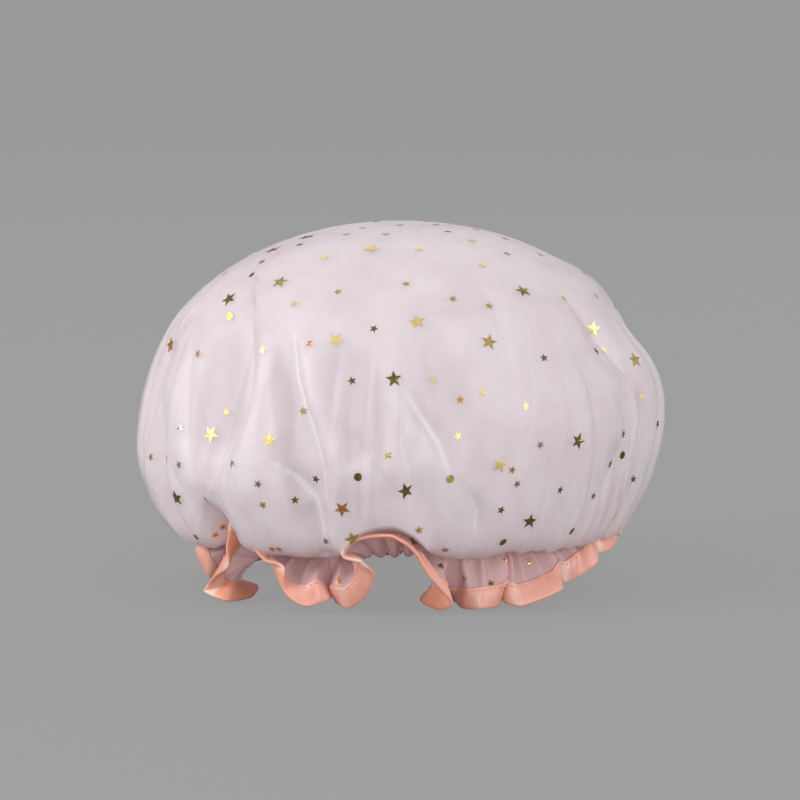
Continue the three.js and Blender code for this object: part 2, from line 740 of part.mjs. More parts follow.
// How far from a face's middle a foil piece may reach before it meets another face that it
// shares a corner with, as that one rises over it
function roomBeside(face, other) {
  const shared = face.corners.filter((corner) => other.corners.includes(corner)).length;
  if (shared === 0 || shared === 3) return Infinity;
  const risen = other.spots
    .map((spot) => spot.clone().sub(face.middle))
    .map((way) => ({ out: way.dot(face.normal), away: way.length() }))
    .filter((way) => way.out > seatGap);
  if (risen.length === 0) return Infinity;
  const near = face.spots
    .filter((_, i) => other.corners.includes(face.corners[i]))
    .map((spot) => spot.clone().sub(face.middle));
  const edge = near.length === 2 ? near[1].clone().sub(near[0]).normalize() : up.clone().set(0, 0, 0);
  const least = near[0].clone().addScaledVector(edge, -near[0].dot(edge)).length();
  const [top] = risen.sort((one, two) => two.out - one.out);
  return least + ((top.away - least) * seatGap) / top.out / 2;
}

// Pixel of the photograph's view in which a point of the cap is seen
function photoPixel(point) {
  const slope = radians(photoSlope);
  const rise = point.z * Math.cos(slope) + point.y * Math.sin(slope);
  const across = (point.x * crownPixels.x) / capWidth;
  return { x: originPixel.x + across, y: originPixel.y - (rise * crownPixels.y) / capHeight };
}

function takeFace(faces, reach, costOf) {
  const free = faces.filter((face) => !face.used && face.room > reach);
  const best = free.reduce((least, face) => (costOf(face) < costOf(least) ? face : least));
  best.used = true;
  return best;
}

// A foil piece flat on one face of the organza, turned so that each lies differently
function addFoil(kind, number, face) {
  const mesh = addPiece(`foil_${kind}_${String(number).padStart(2, '0')}`, foilShapes[kind](), goldFoil);
  const spin = new THREE.Quaternion().setFromAxisAngle(up, number * goldenTurn * fullTurn);
  mesh.quaternion.setFromUnitVectors(up, face.normal).multiply(spin);
  mesh.position.copy(face.middle).addScaledVector(face.normal, seatGap);
}

function addFoils() {
  const faces = crownFaces();
  const inView = faces.filter((face) => face.normal.y < 0);
  frontFoilPixels.forEach((spot, i) => {
    const face = takeFace(inView, foilReaches[spot.kind], (f) => {
      const seen = photoPixel(f.middle);
      return Math.hypot(seen.x - spot.x, seen.y - spot.y);
    });
    addFoil(spot.kind, i + 1, face);
  });
  for (let i = 0; i < backFoilCount; i += 1) {
    const turnShare = backTurnShares.first + backTurnShares.span * ((i * goldenTurn) % 1);
    const heightShare = mix(backHeightShares.low, backHeightShares.high, (i + 0.5) / backFoilCount);
    const aim = radialAt(turnShare * fullTurn).multiplyScalar(capWidth / 2);
    aim.addScaledVector(up, heightShare * capHeight);
    const kind = backFoilKinds[i % backFoilKinds.length];
    const face = takeFace(faces, foilReaches[kind], (f) => f.middle.distanceTo(aim));
    addFoil(kind, frontFoilPixels.length + i + 1, face);
  }
}

addLayers();
addHem();
addCasing();
addElasticJoin();
addFoils();

export default cap;
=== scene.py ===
"""Dressed model of a gathered shower cap: sheer organza over a milky film, with a satin hem.

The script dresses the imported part, in its own frame and in metres. The middle surface between
the two cloths is worked out once, from the same sizes and the same table of folds as the
solids, and each sewn piece is then laid on it: organza outside, film inside, the elastic
between them, the satin tape over the hem, the stitches, and the gold foil on the organza.
"""

import sys
import logging
import math
from dataclasses import dataclass, field
from enum import Enum

import bpy
import numpy as np
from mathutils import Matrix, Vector
from mathutils.bvhtree import BVHTree


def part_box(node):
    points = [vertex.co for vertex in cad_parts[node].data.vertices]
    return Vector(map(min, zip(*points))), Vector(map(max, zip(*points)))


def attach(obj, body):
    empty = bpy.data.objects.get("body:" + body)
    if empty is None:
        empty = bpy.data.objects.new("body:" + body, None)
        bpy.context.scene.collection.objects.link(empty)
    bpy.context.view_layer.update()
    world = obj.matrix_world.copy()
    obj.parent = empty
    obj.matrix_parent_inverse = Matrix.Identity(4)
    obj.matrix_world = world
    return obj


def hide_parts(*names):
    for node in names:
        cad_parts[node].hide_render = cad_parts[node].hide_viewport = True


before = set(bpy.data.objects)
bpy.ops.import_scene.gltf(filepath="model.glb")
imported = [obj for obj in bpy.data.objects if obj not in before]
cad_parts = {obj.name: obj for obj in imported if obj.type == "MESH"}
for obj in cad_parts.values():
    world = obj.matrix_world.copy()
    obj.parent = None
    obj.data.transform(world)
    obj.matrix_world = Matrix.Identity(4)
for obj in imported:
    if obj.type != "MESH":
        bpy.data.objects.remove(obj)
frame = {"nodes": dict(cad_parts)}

LOG = logging.getLogger("cap")
MM = 0.001
FULL_TURN = 2 * math.pi
BODY = "root"


# --- Small helpers -------------------------------------------------------------------------


def linear(hex_colour: str, alpha: float = 1.0) -> tuple[float, float, float, float]:
    """Turns an sRGB hex colour into linear light.

    Args:
        hex_colour: Six hex digits, such as "e9a68f".
        alpha: Opacity to carry along.

    Returns:
        Red, green, blue and alpha as a shader socket wants them.
    """
    parts = [int(hex_colour[i : i + 2], 16) / 255 for i in (0, 2, 4)]
    low = [c / 12.92 if c <= 0.04045 else ((c + 0.055) / 1.055) ** 2.4 for c in parts]
    return (low[0], low[1], low[2], alpha)


def smooth_step(low: float, high: float, value: np.ndarray) -> np.ndarray:
    """Eases from 0 at low to 1 at high."""
    share = np.clip((value - low) / (high - low), 0, 1)
    return share * share * (3 - 2 * share)


def unit(vectors: np.ndarray) -> np.ndarray:
    """Vectors of length 1 along the last axis."""
    return vectors / np.maximum(np.linalg.norm(vectors, axis=-1, keepdims=True), 1e-12)


def ring_spline(values: np.ndarray, spots: np.ndarray, period: float = 0.0) -> np.ndarray:
    """Reads a closed list of samples between its entries, without overshooting them.

    Args:
        values: One value for each whole number of the ring.
        spots: Places to read, counted in samples.
        period: What a full round adds to the value.

    Returns:
        The value at each place.
    """
    steps = np.roll(values, -1) - values
    steps[-1] += period
    before = np.roll(steps, 1)
    same_way = before * steps > 0
    both = np.where(same_way, before + steps, 1.0)
    slopes = np.where(same_way, 2 * before * steps / both, 0.0)
    index = np.floor(spots).astype(int) % len(values)
    part = spots - np.floor(spots)
    after = np.roll(slopes, -1)
    square, cube = part**2, part**3
    return (
        values[index]
        + steps[index] * (3 * square - 2 * cube)
        + slopes[index] * (cube - 2 * square + part)
        + after[index] * (cube - square)
    )


class RingNoise:
    """Smooth random value round the ring, the same at each run."""

    def __init__(self, seed: int, waves: range) -> None:
        """Draws a phase and a strength for each wave number."""
        draw = np.random.default_rng(seed)
        self.waves = np.array(list(waves))
        self.phases = draw.uniform(0, FULL_TURN, len(self.waves))
        self.strengths = draw.uniform(0.4, 1.0, len(self.waves))

    def at(self, turns: np.ndarray) -> np.ndarray:
        """Noise from about -1 to 1 at each turn."""
        angles = np.asarray(turns)[..., None] * self.waves + self.phases
        total = (np.sin(angles) * self.strengths).sum(-1)
        return total / (0.75 * math.sqrt(float((self.strengths**2).sum()) * 2))


class FlatNoise:
    """Smooth random value over the flat cut of the cloth, the same at each run."""

    def __init__(self, seed: int, shortest: float, longest: float, count: int = 18) -> None:
        """Draws waves of random direction, with lengths between the two given ones."""
        draw = np.random.default_rng(seed)
        ways = draw.uniform(0, FULL_TURN, count)
        lengths = draw.uniform(shortest, longest, count)
        self.phases = draw.uniform(0, FULL_TURN, count)
        self.rates = np.stack([np.cos(ways), np.sin(ways)]) * FULL_TURN / lengths

    def at(self, flat: np.ndarray) -> np.ndarray:
        """Noise from about -1 to 1 at each flat place."""
        total = np.sin(flat @ self.rates + self.phases).sum(-1)
        return total / math.sqrt(2.0 * len(self.phases))


# --- Sizes and tables ----------------------------------------------------------------------


@dataclass(frozen=True)
class CapSizes:
    """Sizes of the cap, in metres and radians.

    They are as in the solids, but for the last three.

    Attributes:
        flute_clearance: Gap between the crown's underside and a hem that rises to it.
        flute_lift_spread: Angle over which the crown's underside rises beside such a hem.
        flat_diameter: Twice the finished cloth's mean way from the pole to the hem.
    """

    width: float = 270 * MM
    depth: float = 250 * MM
    height: float = 185 * MM
    neck_radius: float = 80 * MM
    neck_height: float = 34 * MM
    neck_rise: float = 6.5 * MM
    casing_half: float = 5 * MM
    casing_slope: float = math.radians(12)
    frill_width: float = 38 * MM
    tape_width: float = 10 * MM
    tape_overrun: float = 1.1 * MM
    tape_half_thickness: float = 1.05 * MM
    skin: float = 0.8 * MM
    flute_clearance: float = 2 * MM
    flute_lift_spread: float = math.radians(4.5)
    flat_diameter: float = 613 * MM

    @property
    def free_width(self) -> float:
        """Width of the frill between the casing and the tape."""
        return self.frill_width - self.casing_half - self.tape_width


SIZES = CapSizes()


class FoldKind(Enum):
    """How a fold of the frill stands: flared far out, or narrow."""

    FLUTE = "flute"
    TUCK = "tuck"


@dataclass(frozen=True)
class FrillFold:
    """A fold of the frill and the hanging stretch after it, in degrees.

    The fields are those of the solids' own table: the fold's place round the ring, half its
    width, how far it flares from hanging straight down, how far its sides lean apart, and for
    the stretch after it its middle, its flare, and how it leans at its start and its end.
    """

    kind: FoldKind
    turn: float
    spread: float
    flare: float
    splay: float
    middle: float
    hang: float
    lean_in: float
    lean_out: float


FLUTE, TUCK = FoldKind.FLUTE, FoldKind.TUCK
FOLDS = (
    FrillFold(FLUTE, -4, 4.6, 107, 24, 11.6, 8, 0, 10),
    FrillFold(TUCK, 16.5, 2.1, -32, 2, 24, 6, 10, 10),
    FrillFold(TUCK, 31, 2.1, -32, 2, 45, 8, 10, 12),
    FrillFold(TUCK, 59, 2.2, -20, 2, 67, 42, 6, 2),
    FrillFold(TUCK, 76, 2.6, 22, 2, 85, 66, 2, 0),
    FrillFold(FLUTE, 103, 6, 108, 22, 119, 30, 2, 6),
    FrillFold(TUCK, 131, 2.1, -30, 2, 142, 10, 10, 0),
    FrillFold(FLUTE, 157, 5.5, 104, 26, 172, 52, 2, 8),
    FrillFold(TUCK, 183, 2.1, 34, 2, 194, 50, 6, 0),
    FrillFold(FLUTE, 210, 6, 110, 26, 226, 34, 2, 8),
    FrillFold(TUCK, 237, 3.4, 58, 8, 244, 34, 4, 0),
    FrillFold(FLUTE, 261, 6, 40, 5, 278, 26, 0, 6),
    FrillFold(TUCK, 287, 3.4, 80, 8, 296, 40, 8, -6),
    FrillFold(FLUTE, 308, 5, 122, 18, 323, 34, -6, 6),
    FrillFold(TUCK, 338, 2.1, -28, 2, 345, 16, 10, 2),
)
FLUTE_SIDE_SHARE = 0.2
HANG_EDGE_SHARES = {FLUTE: 0.2, TUCK: 0.12}
HANG_EDGE_PLACE = 0.5
TAPE_BENDS = (0.95, 1.15)
TAPE_SWAYS = (0.8, 1.3)

# Hem of the front, followed round its lobes: the turn of the elastic that each point hangs from,
# the pixel where it shows, and how far in front of the middle it is, in millimetres
FRONT_HEM = (
    (248, 226, 580, -40), (254, 216, 566, -32), (260, 209, 553, -24), (267, 203, 545, -12),
    (275, 199, 541, 2), (283, 197, 540, 15), (286, 201, 560, 18),
    (288.5, 209, 577, 22), (291, 232, 588, 16), (293.5, 256, 589, 24), (296, 250, 598, 42),
    (298.5, 228, 602, 58), (301, 205, 592, 50),
    (303, 218, 576, 60), (305, 230, 568, 66), (307, 229, 545, 66), (309, 232, 518, 66),
    (311, 241, 524, 72), (313.5, 253, 545, 80), (316, 268, 566, 86), (318.5, 283, 570, 88),
    (321, 284, 588, 88), (324, 292, 600, 90), (328, 308, 607, 90), (332, 326, 601, 88),
    (335, 336, 594, 62), (338, 336, 604, 84), (340.5, 346, 609, 90), (343, 364, 598, 92),
    (345, 373, 578, 100), (347, 362, 563, 106), (349, 345, 556, 104), (351, 352, 545, 106),
    (354, 370, 538, 108), (358, 390, 537, 110), (362, 405, 545, 110), (365, 418, 563, 106),
    (368, 434, 583, 102), (371, 452, 602, 96), (373.5, 440, 610, 88), (376, 421, 601, 80),
    (378.5, 425, 596, 68), (381, 450, 600, 64), (384, 464, 609, 80), (389, 482, 609, 84),
    (393, 495, 607, 78), (396, 500, 592, 62), (399, 508, 604, 74), (403, 522, 606, 76),
    (408, 540, 600, 70), (413, 560, 591, 62), (416, 559, 580, 50), (420, 566, 583, 46),
    (425, 582, 574, 44), (430, 597, 562, 38), (433, 598, 553, 26), (437, 607, 551, 22),
    (443, 615, 540, 12), (450, 617, 525, 0),
)

# Crown profile from the pole down: how far out and how high, on the right and on the left
PROFILE = (
    (0.225, 0.998, 0.225, 0.997),
    (0.42, 0.969, 0.42, 0.968),
    (0.593, 0.913, 0.593, 0.909),
    (0.748, 0.844, 0.748, 0.825),
    (0.867, 0.718, 0.872, 0.719),
    (0.963, 0.618, 0.97, 0.551),
    (1.0, 0.497, 1.0, 0.365),
    (0.959, 0.324, 0.941, 0.246),
    (0.88, 0.2, 0.87, 0.16),
    (0.82, 0.152, 0.81, 0.13),
)
LIFT_SHARES = {6: 0.1, 7: 0.42, 8: 0.9, 9: 1.0}
LIFT_PUSHES = {8: 3 * MM, 9: 0 * MM}
# How far the lowest rings are drawn in and up on the front, as shares of the sizes
FRONT_DRAWS = {8: (0.02, 0.0), 9: (0.06, 0.012)}

# Soft folds that run down the crown, as in the solids: turn shares at the upper and the lower
# end, spread, depth share, and the height shares between which it lies
CROWN_FOLDS = (
    (-0.208, -0.17, 0.017, 0.008, 0.02, 0.68),
    (-0.142, -0.122, 0.024, 0.026, 0.2, 0.85),
    (-0.092, -0.049, 0.018, 0.02, 0.1, 0.76),
    (0.002, 0.034, 0.018, 0.012, 0.06, 0.64),
    (0.072, 0.08, 0.018, 0.01, -0.1, 0.58),
    (0.148, 0.144, 0.022, 0.014, 0.04, 0.7),
    (0.206, 0.196, 0.016, 0.014, -0.1, 0.56),
    (0.262, 0.25, 0.018, 0.02, -0.06, 0.72),
    (0.33, 0.31, 0.022, 0.024, 0.02, 0.8),
    (0.36, 0.372, 0.014, 0.014, -0.1, 0.54),
    (0.408, 0.424, 0.02, 0.02, 0.02, 0.72),
    (0.482, 0.474, 0.016, 0.016, -0.08, 0.6),
    (0.522, 0.53, 0.016, 0.018, -0.08, 0.66),
    (0.57, 0.58, 0.022, 0.026, 0.04, 0.82),
    (0.63, 0.62, 0.016, 0.014, -0.1, 0.56),
    (0.66, 0.67, 0.018, 0.02, 0, 0.72),
    (0.712, 0.72, 0.018, 0.018, -0.08, 0.62),
    (0.752, 0.766, 0.018, 0.006, -0.04, 0.7),
)


@dataclass(frozen=True)
class PhotoView:
    """The photograph's view: its scale, its slope, and the pixel where the origin shows."""

    metres_per_pixel: float = 0.511 * MM
    slope: float = math.radians(7.5)
    origin: tuple[float, float] = (399.0, 586.0)
    frame: int = 800
    distance: float = 3.63

    def pixels(self, points: np.ndarray, seen_from: float = 0.0) -> np.ndarray:
        """Pixels in which points show, with the view turned round the cap.

        Args:
            points: Places on the cap, in metres.
            seen_from: Degrees by which the viewer has walked round, counter-clockwise.

        Returns:
            Across and down, in pixels, along the last axis.
        """
        turn = math.radians(seen_from)
        across = points[..., 0] * math.cos(turn) + points[..., 1] * math.sin(turn)
        away = points[..., 1] * math.cos(turn) - points[..., 0] * math.sin(turn)
        rise = points[..., 2] * math.cos(self.slope) + away * math.sin(self.slope)
        return np.stack(
            [
                self.origin[0] + across / self.metres_per_pixel,
                self.origin[1] - rise / self.metres_per_pixel,
            ],
            axis=-1,
        )

    def places(self, seen: np.ndarray, in_front: np.ndarray) -> np.ndarray:
        """Places that show in pixels, at distances in front of the middle.

        Args:
            seen: Across and down, in pixels, along the last axis.
            in_front: Distance in front of the middle for each, in metres.

        Returns:
            Places in metres, none of them under the floor.
        """
        middle = self.frame / 2
        seen = middle + (seen - middle) * (1 - in_front[..., None] / self.distance)
        across = (seen[..., 0] - self.origin[0]) * self.metres_per_pixel
        rise = (self.origin[1] - seen[..., 1]) * self.metres_per_pixel
        high = (rise + in_front * math.sin(self.slope)) / math.cos(self.slope)
        return np.stack([across, -in_front, np.maximum(high, 0)], axis=-1)


VIEW = PhotoView()


@dataclass(frozen=True)
class Crease:
    """A fold line of the crown, drawn through pixels of a view.

    Attributes:
        path: Points of the line.
        depth: How far the line sinks below the cloth beside it, in millimetres.
        left: Width of its flank on the left of the downward path, in pixels.
        right: Width of its other flank.
        seen_from: Degrees round the cap from which the line is drawn.
        gleam: Share of painted highlight along the line, where the doubled cloth also shows more
            opaque, from 0 to 1.
    """

    path: tuple[tuple[float, float], ...]
    depth: float
    left: float
    right: float
    seen_from: float = 0.0
    gleam: float = 0.5

    def sink(self, points: np.ndarray, facing: np.ndarray) -> tuple[np.ndarray, np.ndarray]:
        """How far the cloth sinks at each point, in metres, and its share of painted highlight.

        Args:
            points: Places on the cloth.
            facing: Outward directions of the cloth there.

        Returns:
            Depths and shares, 0 away from the line and on the far side of the cap.
        """
        seen = VIEW.pixels(points, self.seen_from)
        turn = math.radians(self.seen_from)
        towards = facing[..., 0] * math.sin(turn) - facing[..., 1] * math.cos(turn)
        line = np.array(self.path, dtype=float)
        lengths = np.linalg.norm(np.diff(line, axis=0), axis=1)
        starts = np.concatenate([[0.0], np.cumsum(lengths)])
        nearest = np.full(seen.shape[:-1], 1e9)
        along = np.zeros(seen.shape[:-1])
        side = np.zeros(seen.shape[:-1])
        for start, end, length, passed in zip(line[:-1], line[1:], lengths, starts):
            way = (end - start) / length
            offset = seen - start
            share = np.clip(offset @ way, 0, length)
            apart = offset - share[..., None] * way
            distance = np.linalg.norm(apart, axis=-1)
            closer = distance < nearest
            nearest = np.where(closer, distance, nearest)
            along = np.where(closer, (passed + share) / starts[-1], along)
            side = np.where(closer, way[0] * apart[..., 1] - way[1] * apart[..., 0], side)
        width = np.where(side > 0, self.left, self.right)
        blunt = 1.2
        spread = (np.sqrt(nearest**2 + blunt**2) - blunt) / width
        ends = np.sqrt(np.sin(math.pi * np.clip(along, 0.015, 0.985)))
        ends = ends * smooth_step(0.0, 0.35, towards)
        sunk = 1.6 * self.depth * MM * np.exp(-spread)
        line = np.exp(-((nearest / LINE_WIDTH) ** 2))
        return (sunk - LINE_RISE * line) * ends, self.gleam * line * ends


# Pixels across a crease's line of painted highlight, and how far that line stands up
LINE_WIDTH = 2.4
LINE_RISE = 0.4 * MM
CREASES = (
    Crease(((253, 312), (249, 350), (245, 395), (233, 437), (222, 466)), 5.2, 30, 7, 0, 0.5),
    Crease(
        ((297, 338), (297, 375), (302, 400), (312, 430), (322, 470), (326, 502)), 4.2, 15, 3, 0, 1
    ),
    Crease(
        ((268, 455), (293, 473), (313, 500), (320, 523), (328, 553), (340, 570)), 3.6, 6, 13, 0, 0.9
    ),
    Crease(((402, 386), (421, 417), (437, 443), (449, 475)), 3.0, 4, 15, 0, 1),
    Crease(((404, 410), (402, 440), (408, 470)), 1.4, 10, 6, 0, 0.35),
    Crease(((466, 490), (478, 508), (474, 530)), 2.0, 10, 4, 0, 0.6),
    Crease(((146, 380), (157, 408), (160, 440), (166, 470), (186, 503)), 1.8, 9, 5, 0, 0.3),
    Crease(((192, 335), (184, 380), (182, 430), (190, 470)), 2.0, 7, 20, 0, 0.25),
    Crease(((508, 325), (524, 350), (534, 390), (530, 432), (512, 470)), 1.5, 26, 12, 0, 0.15),
    Crease(((335, 425), (352, 436), (366, 452), (352, 462), (336, 470)), 1.6, 14, 5, 0, 0.15),
    Crease(((407, 312), (450, 305), (502, 300)), 1.0, 14, 12, 0, 0.15),
    Crease(((606, 300), (622, 322), (636, 342)), 2.0, 12, 8),
    Crease(((596, 500), (612, 470), (622, 440)), 2.2, 12, 6),
    Crease(((300, 300), (318, 370), (330, 440), (322, 510)), 5.0, 22, 8, 90),
    Crease(((420, 350), (405, 410), (412, 470), (430, 530)), 4.6, 9, 24, 90),
    Crease(((520, 330), (538, 400), (530, 470)), 3.4, 18, 7, 90),
    Crease(((260, 330), (244, 400), (252, 470), (266, 520)), 5.4, 26, 8, 180),
    Crease(((350, 380), (366, 440), (360, 500)), 3.6, 8, 18, 180),
    Crease(((450, 300), (462, 380), (448, 450), (456, 520)), 4.4, 20, 7, 180),
    Crease(((540, 340), (556, 410), (548, 480)), 3.6, 8, 20, 180),
    Crease(((320, 320), (334, 400), (326, 470), (338, 530)), 4.8, 22, 8, 270),
    Crease(((450, 360), (438, 430), (446, 500)), 4.0, 8, 20, 270),
)


# Patches of painted shade, where the organza is coloured greyer, drawn in the photograph's view:
# middle, half sizes, how far the patch leans over its height, and strength
PAINTED_SHADE_PATCHES = (
    (219, 392, 25, 84, -14, 0.55),
    (284, 402, 11, 60, 6, 0.75),
    (352, 398, 40, 62, 10, 0.5),
    (150, 432, 9, 44, 4, 0.3),
    (452, 309, 52, 15, 0, 0.3),
    (438, 396, 34, 60, 12, 0.4),
    (300, 490, 14, 30, 8, 0.35),
    (560, 430, 40, 80, 0, 0.2),
)


def painted_shade_share(points: np.ndarray, facing: np.ndarray) -> np.ndarray:
    """How much painted shade the organza gets at each point of the front, from 0 to 1."""
    seen = VIEW.pixels(points)
    total = np.zeros(seen.shape[:-1])
    for middle, level, half, tall, lean, strength in PAINTED_SHADE_PATCHES:
        up = (seen[..., 1] - level) / tall
        side = (seen[..., 0] - middle - lean * up) / half
        total += strength * (1 - smooth_step(0.55, 1.15, np.hypot(up, side)))
    return np.clip(total, 0, 1) * smooth_step(0.0, 0.35, -facing[..., 1])


# --- The middle surface --------------------------------------------------------------------


@dataclass(frozen=True)
class Gather:
    """One family of gathers: how many go round, and how deep they are along the cloth.

    Attributes:
        count: Gathers in a full round.
        reach: Distances from the elastic, in millimetres, above 0 up the crown.
        depth: Half the height of the gathers at those distances, in millimetres.
        seed: Draws how uneven they are.
        front_ease: How much shallower they are on the smooth front of the crown.
    """

    count: int
    reach: tuple[float, ...]
    depth: tuple[float, ...]
    seed: int
    front_ease: float = 0.0

    def at(self, turns: np.ndarray, reach: np.ndarray) -> np.ndarray:
        """Height of the cloth over its even surface, for each row and column.

        Up the crown the crests stay on that surface, and only the valleys leave it.
        """
        warp = RingNoise(self.seed, range(2, 9)).at(turns) * 1.6
        swell = 1 + 0.35 * RingNoise(self.seed + 1, range(5, 23)).at(turns)
        drift = RingNoise(self.seed + 2, range(3, 12)).at(turns) * 0.9
        wander = np.outer(reach / (40 * MM), drift)
        wave = np.sin(self.count * turns + warp + wander)
        bulge = wave - 0.28 * np.cos(2 * (self.count * turns + warp + wander))
        depth = np.interp(reach / MM, self.reach, self.depth) * MM
        crest = 0.6 * smooth_step(8 * MM, 26 * MM, reach)
        return np.outer(depth, swell) * (bulge - crest[:, None])


GATHERS = (
    Gather(67, (-30, -24, -14, -5, 0, 5, 12), (0, 1.1, 2.75, 1.4, 0.9, 1.1, 0), 11),
    Gather(67, (0, 5, 14, 28, 54, 115), (0, 0, 1.4, 3.6, 4.8, 0), 11, 0.93),
    Gather(34, (0, 12, 28, 52, 92, 160), (0, 0.4, 1.8, 4.8, 4.8, 0), 23, 0.82),
    Gather(23, (-40, -28, -16, -8), (0.7, 0.9, 0.9, 0), 53),
)


# Crisp folds: seed, how many waves go round, the reach of the folds, and their depth
CRISP_FOLDS = (
    (83, 9, 200 * MM, 1.9 * MM),
    (97, 14, 150 * MM, 1.5 * MM),
    (111, 22, 110 * MM, 1.0 * MM),
)


@dataclass
class CapForm:
    """Middle surface between the organza and the film, as rows from the pole to the hem.

    Attributes:
        sizes: The cap's sizes.
        columns_per_sample: Columns for each of the frill's own samples.
        row_counts: Rows between each control ring and the next, from the pole down.
    """

    sizes: CapSizes = SIZES
    columns_per_sample: int = 8
    row_counts: tuple[int, ...] = (7, 7, 8, 9, 9, 9, 9, 10, 10, 8, 10, 4, 4, 13, 6)
    turns: np.ndarray = field(init=False)
    points: np.ndarray = field(init=False)
    normals: np.ndarray = field(init=False)
    downs: np.ndarray = field(init=False)
    reach: np.ndarray = field(init=False)
    flat: np.ndarray = field(init=False)
    gleam: np.ndarray = field(init=False)
    painted_shade: np.ndarray = field(init=False)
    lifted: np.ndarray = field(init=False)
    ring_rows: np.ndarray = field(init=False)

    def __post_init__(self) -> None:
        """Works out the surface, its gathers and its creases."""
        samples = np.concatenate([self.fold_samples(), self.seen_samples()])
        spots = np.arange(len(samples) * self.columns_per_sample) / self.columns_per_sample
        self.turns = ring_spline(samples[:, 0], spots, FULL_TURN)
        ways = np.stack([ring_spline(samples[:, i], spots) for i in range(1, 7)], axis=-1)
        self.ring_rows = np.concatenate([[0], np.cumsum(self.row_counts)])
        self.points = self.fill_rows(self.control_rings(ways[:, :3], ways[:, 3:]))
        self.measure()
        self.sew_gathers()

    @property
    def elastic_row(self) -> int:
        """Row that runs over the middle of the elastic."""
        return int(self.ring_rows[-4])

    @property
    def tape_row(self) -> int:
        """Row at the tape's upper edge."""
        return int(self.ring_rows[-2])

    def fold_samples(self) -> np.ndarray:
        """Samples of the frill round the sides and the back, from the table of folds.

        Returns:
            For each sample its turn, the way from the casing's lower edge to the tape's upper
            edge, and the way from there to the hem.
        """
        turns, flare, lean = self.fold_angles()
        first, last = math.radians(FRONT_HEM[-1][0] - 360), math.radians(FRONT_HEM[0][0])
        kept = (turns > first) & (turns < last - math.radians(3))
        turns, flare, lean = turns[kept], flare[kept], lean[kept]
        flare = self.rest_on_floor(turns, flare, lean)
        start = self.casing_ring(turns, -self.sizes.casing_half)
        tape, hem = self.frill_rings(turns, flare, lean)
        return np.column_stack([turns, tape - start, hem - tape])

    def seen_samples(self) -> np.ndarray:
        """Samples of the frill round the front, followed in the photograph.

        Where the way from the casing to the hem is shorter than the cloth, the cloth bows out.

        Returns:
            The same columns as for the folds.
        """
        size = self.sizes
        seen = np.array(FRONT_HEM, dtype=float)
        turns = np.radians(seen[:, 0])
        hem = VIEW.places(seen[:, 1:3], seen[:, 3] * MM)
        hem[:, 2] += size.tape_overrun
        way = hem - self.casing_ring(turns, -size.casing_half)
        length = np.linalg.norm(way, axis=1)
        cloth = size.free_width + size.tape_width
        out = np.stack([np.sin(turns), -np.cos(turns), np.zeros_like(turns)], axis=-1)
        out = unit(out - way * ((out * way).sum(axis=1) / length**2)[:, None])
        bow = 0.32 * np.sqrt(np.clip(cloth**2 - length**2, 0, None))
        bow *= 1 - 2 * smooth_step(-2 * MM, 6 * MM, way[:, 2])
        tape = way * size.free_width / cloth + out * bow[:, None]
        return np.column_stack([turns, tape, way - tape])

    def fold_angles(self) -> np.ndarray:
        """The table's folds round the ring: turns, flares and leans, in radians."""
        rows: list[tuple[float, float, float]] = []
        for i, fold in enumerate(FOLDS):
            after = FOLDS[(i + 1) % len(FOLDS)]
            before = FOLDS[i - 1]
            next_turn = after.turn + (360 if after.turn < fold.turn else 0)
            is_flute = fold.kind is FLUTE
            side = FLUTE_SIDE_SHARE if is_flute else 0.0
            end, start = fold.turn + fold.spread, next_turn - after.spread
            edge, next_edge = HANG_EDGE_SHARES[fold.kind], HANG_EDGE_SHARES[after.kind]
            first = fold.flare + (before.hang - fold.flare) * side
            rows.append((fold.turn - fold.spread, first, -fold.splay))
            if is_flute:
                rows.append((fold.turn, fold.flare, 0.0))
            rows.append((end, fold.flare + (fold.hang - fold.flare) * side, fold.splay))
            place = fold.middle + (end - fold.middle) * HANG_EDGE_PLACE
            rows.append((place, fold.hang + (fold.flare - fold.hang) * edge, -fold.lean_in))
            if is_flute:
                rows.append((fold.middle, fold.hang, 0.0))
            place = fold.middle + (start - fold.middle) * HANG_EDGE_PLACE
            last = fold.hang + (after.flare - fold.hang) * next_edge
            rows.append((place, last, fold.lean_out))
        return np.radians(np.array(rows)).T

    def frill_way(
        self, turns: np.ndarray, flare: np.ndarray, lean: np.ndarray
    ) -> np.ndarray:
        """Direction of the frill's cloth at the given flare and lean."""
        out = np.sin(flare) * np.cos(lean)
        return np.stack(
            [
                np.sin(turns) * out + np.cos(turns) * np.sin(lean),
                -np.cos(turns) * out + np.sin(turns) * np.sin(lean),
                -np.cos(flare) * np.cos(lean),
            ],
            axis=-1,
        )

    def casing_ring(self, turns: np.ndarray, reach: float) -> np.ndarray:
        """A ring of the casing, above the elastic for a reach above 0."""
        size = self.sizes
        out = size.neck_radius + abs(reach) * math.sin(size.casing_slope)
        height = size.neck_height + size.neck_rise * np.sin(turns)
        height = height + reach * math.cos(size.casing_slope)
        return np.stack([out * np.sin(turns), -out * np.cos(turns), height], axis=-1)

    def frill_rings(
        self, turns: np.ndarray, flare: np.ndarray, lean: np.ndarray
    ) -> list[np.ndarray]:
        """The rings at the tape's upper edge and at the hem."""
        rings = [self.casing_ring(turns, -self.sizes.casing_half)]
        widths = (self.sizes.free_width, self.sizes.tape_width)
        for width, bend, sway in zip(widths, TAPE_BENDS, TAPE_SWAYS):
            way = self.frill_way(turns, flare * bend, lean * sway)
            rings.append(rings[-1] + way * width)
        return rings[1:]

    def rest_on_floor(
        self, turns: np.ndarray, flare: np.ndarray, lean: np.ndarray
    ) -> np.ndarray:
        """Flares the hem wherever it would pass through the floor, until it just rests."""
        size = self.sizes

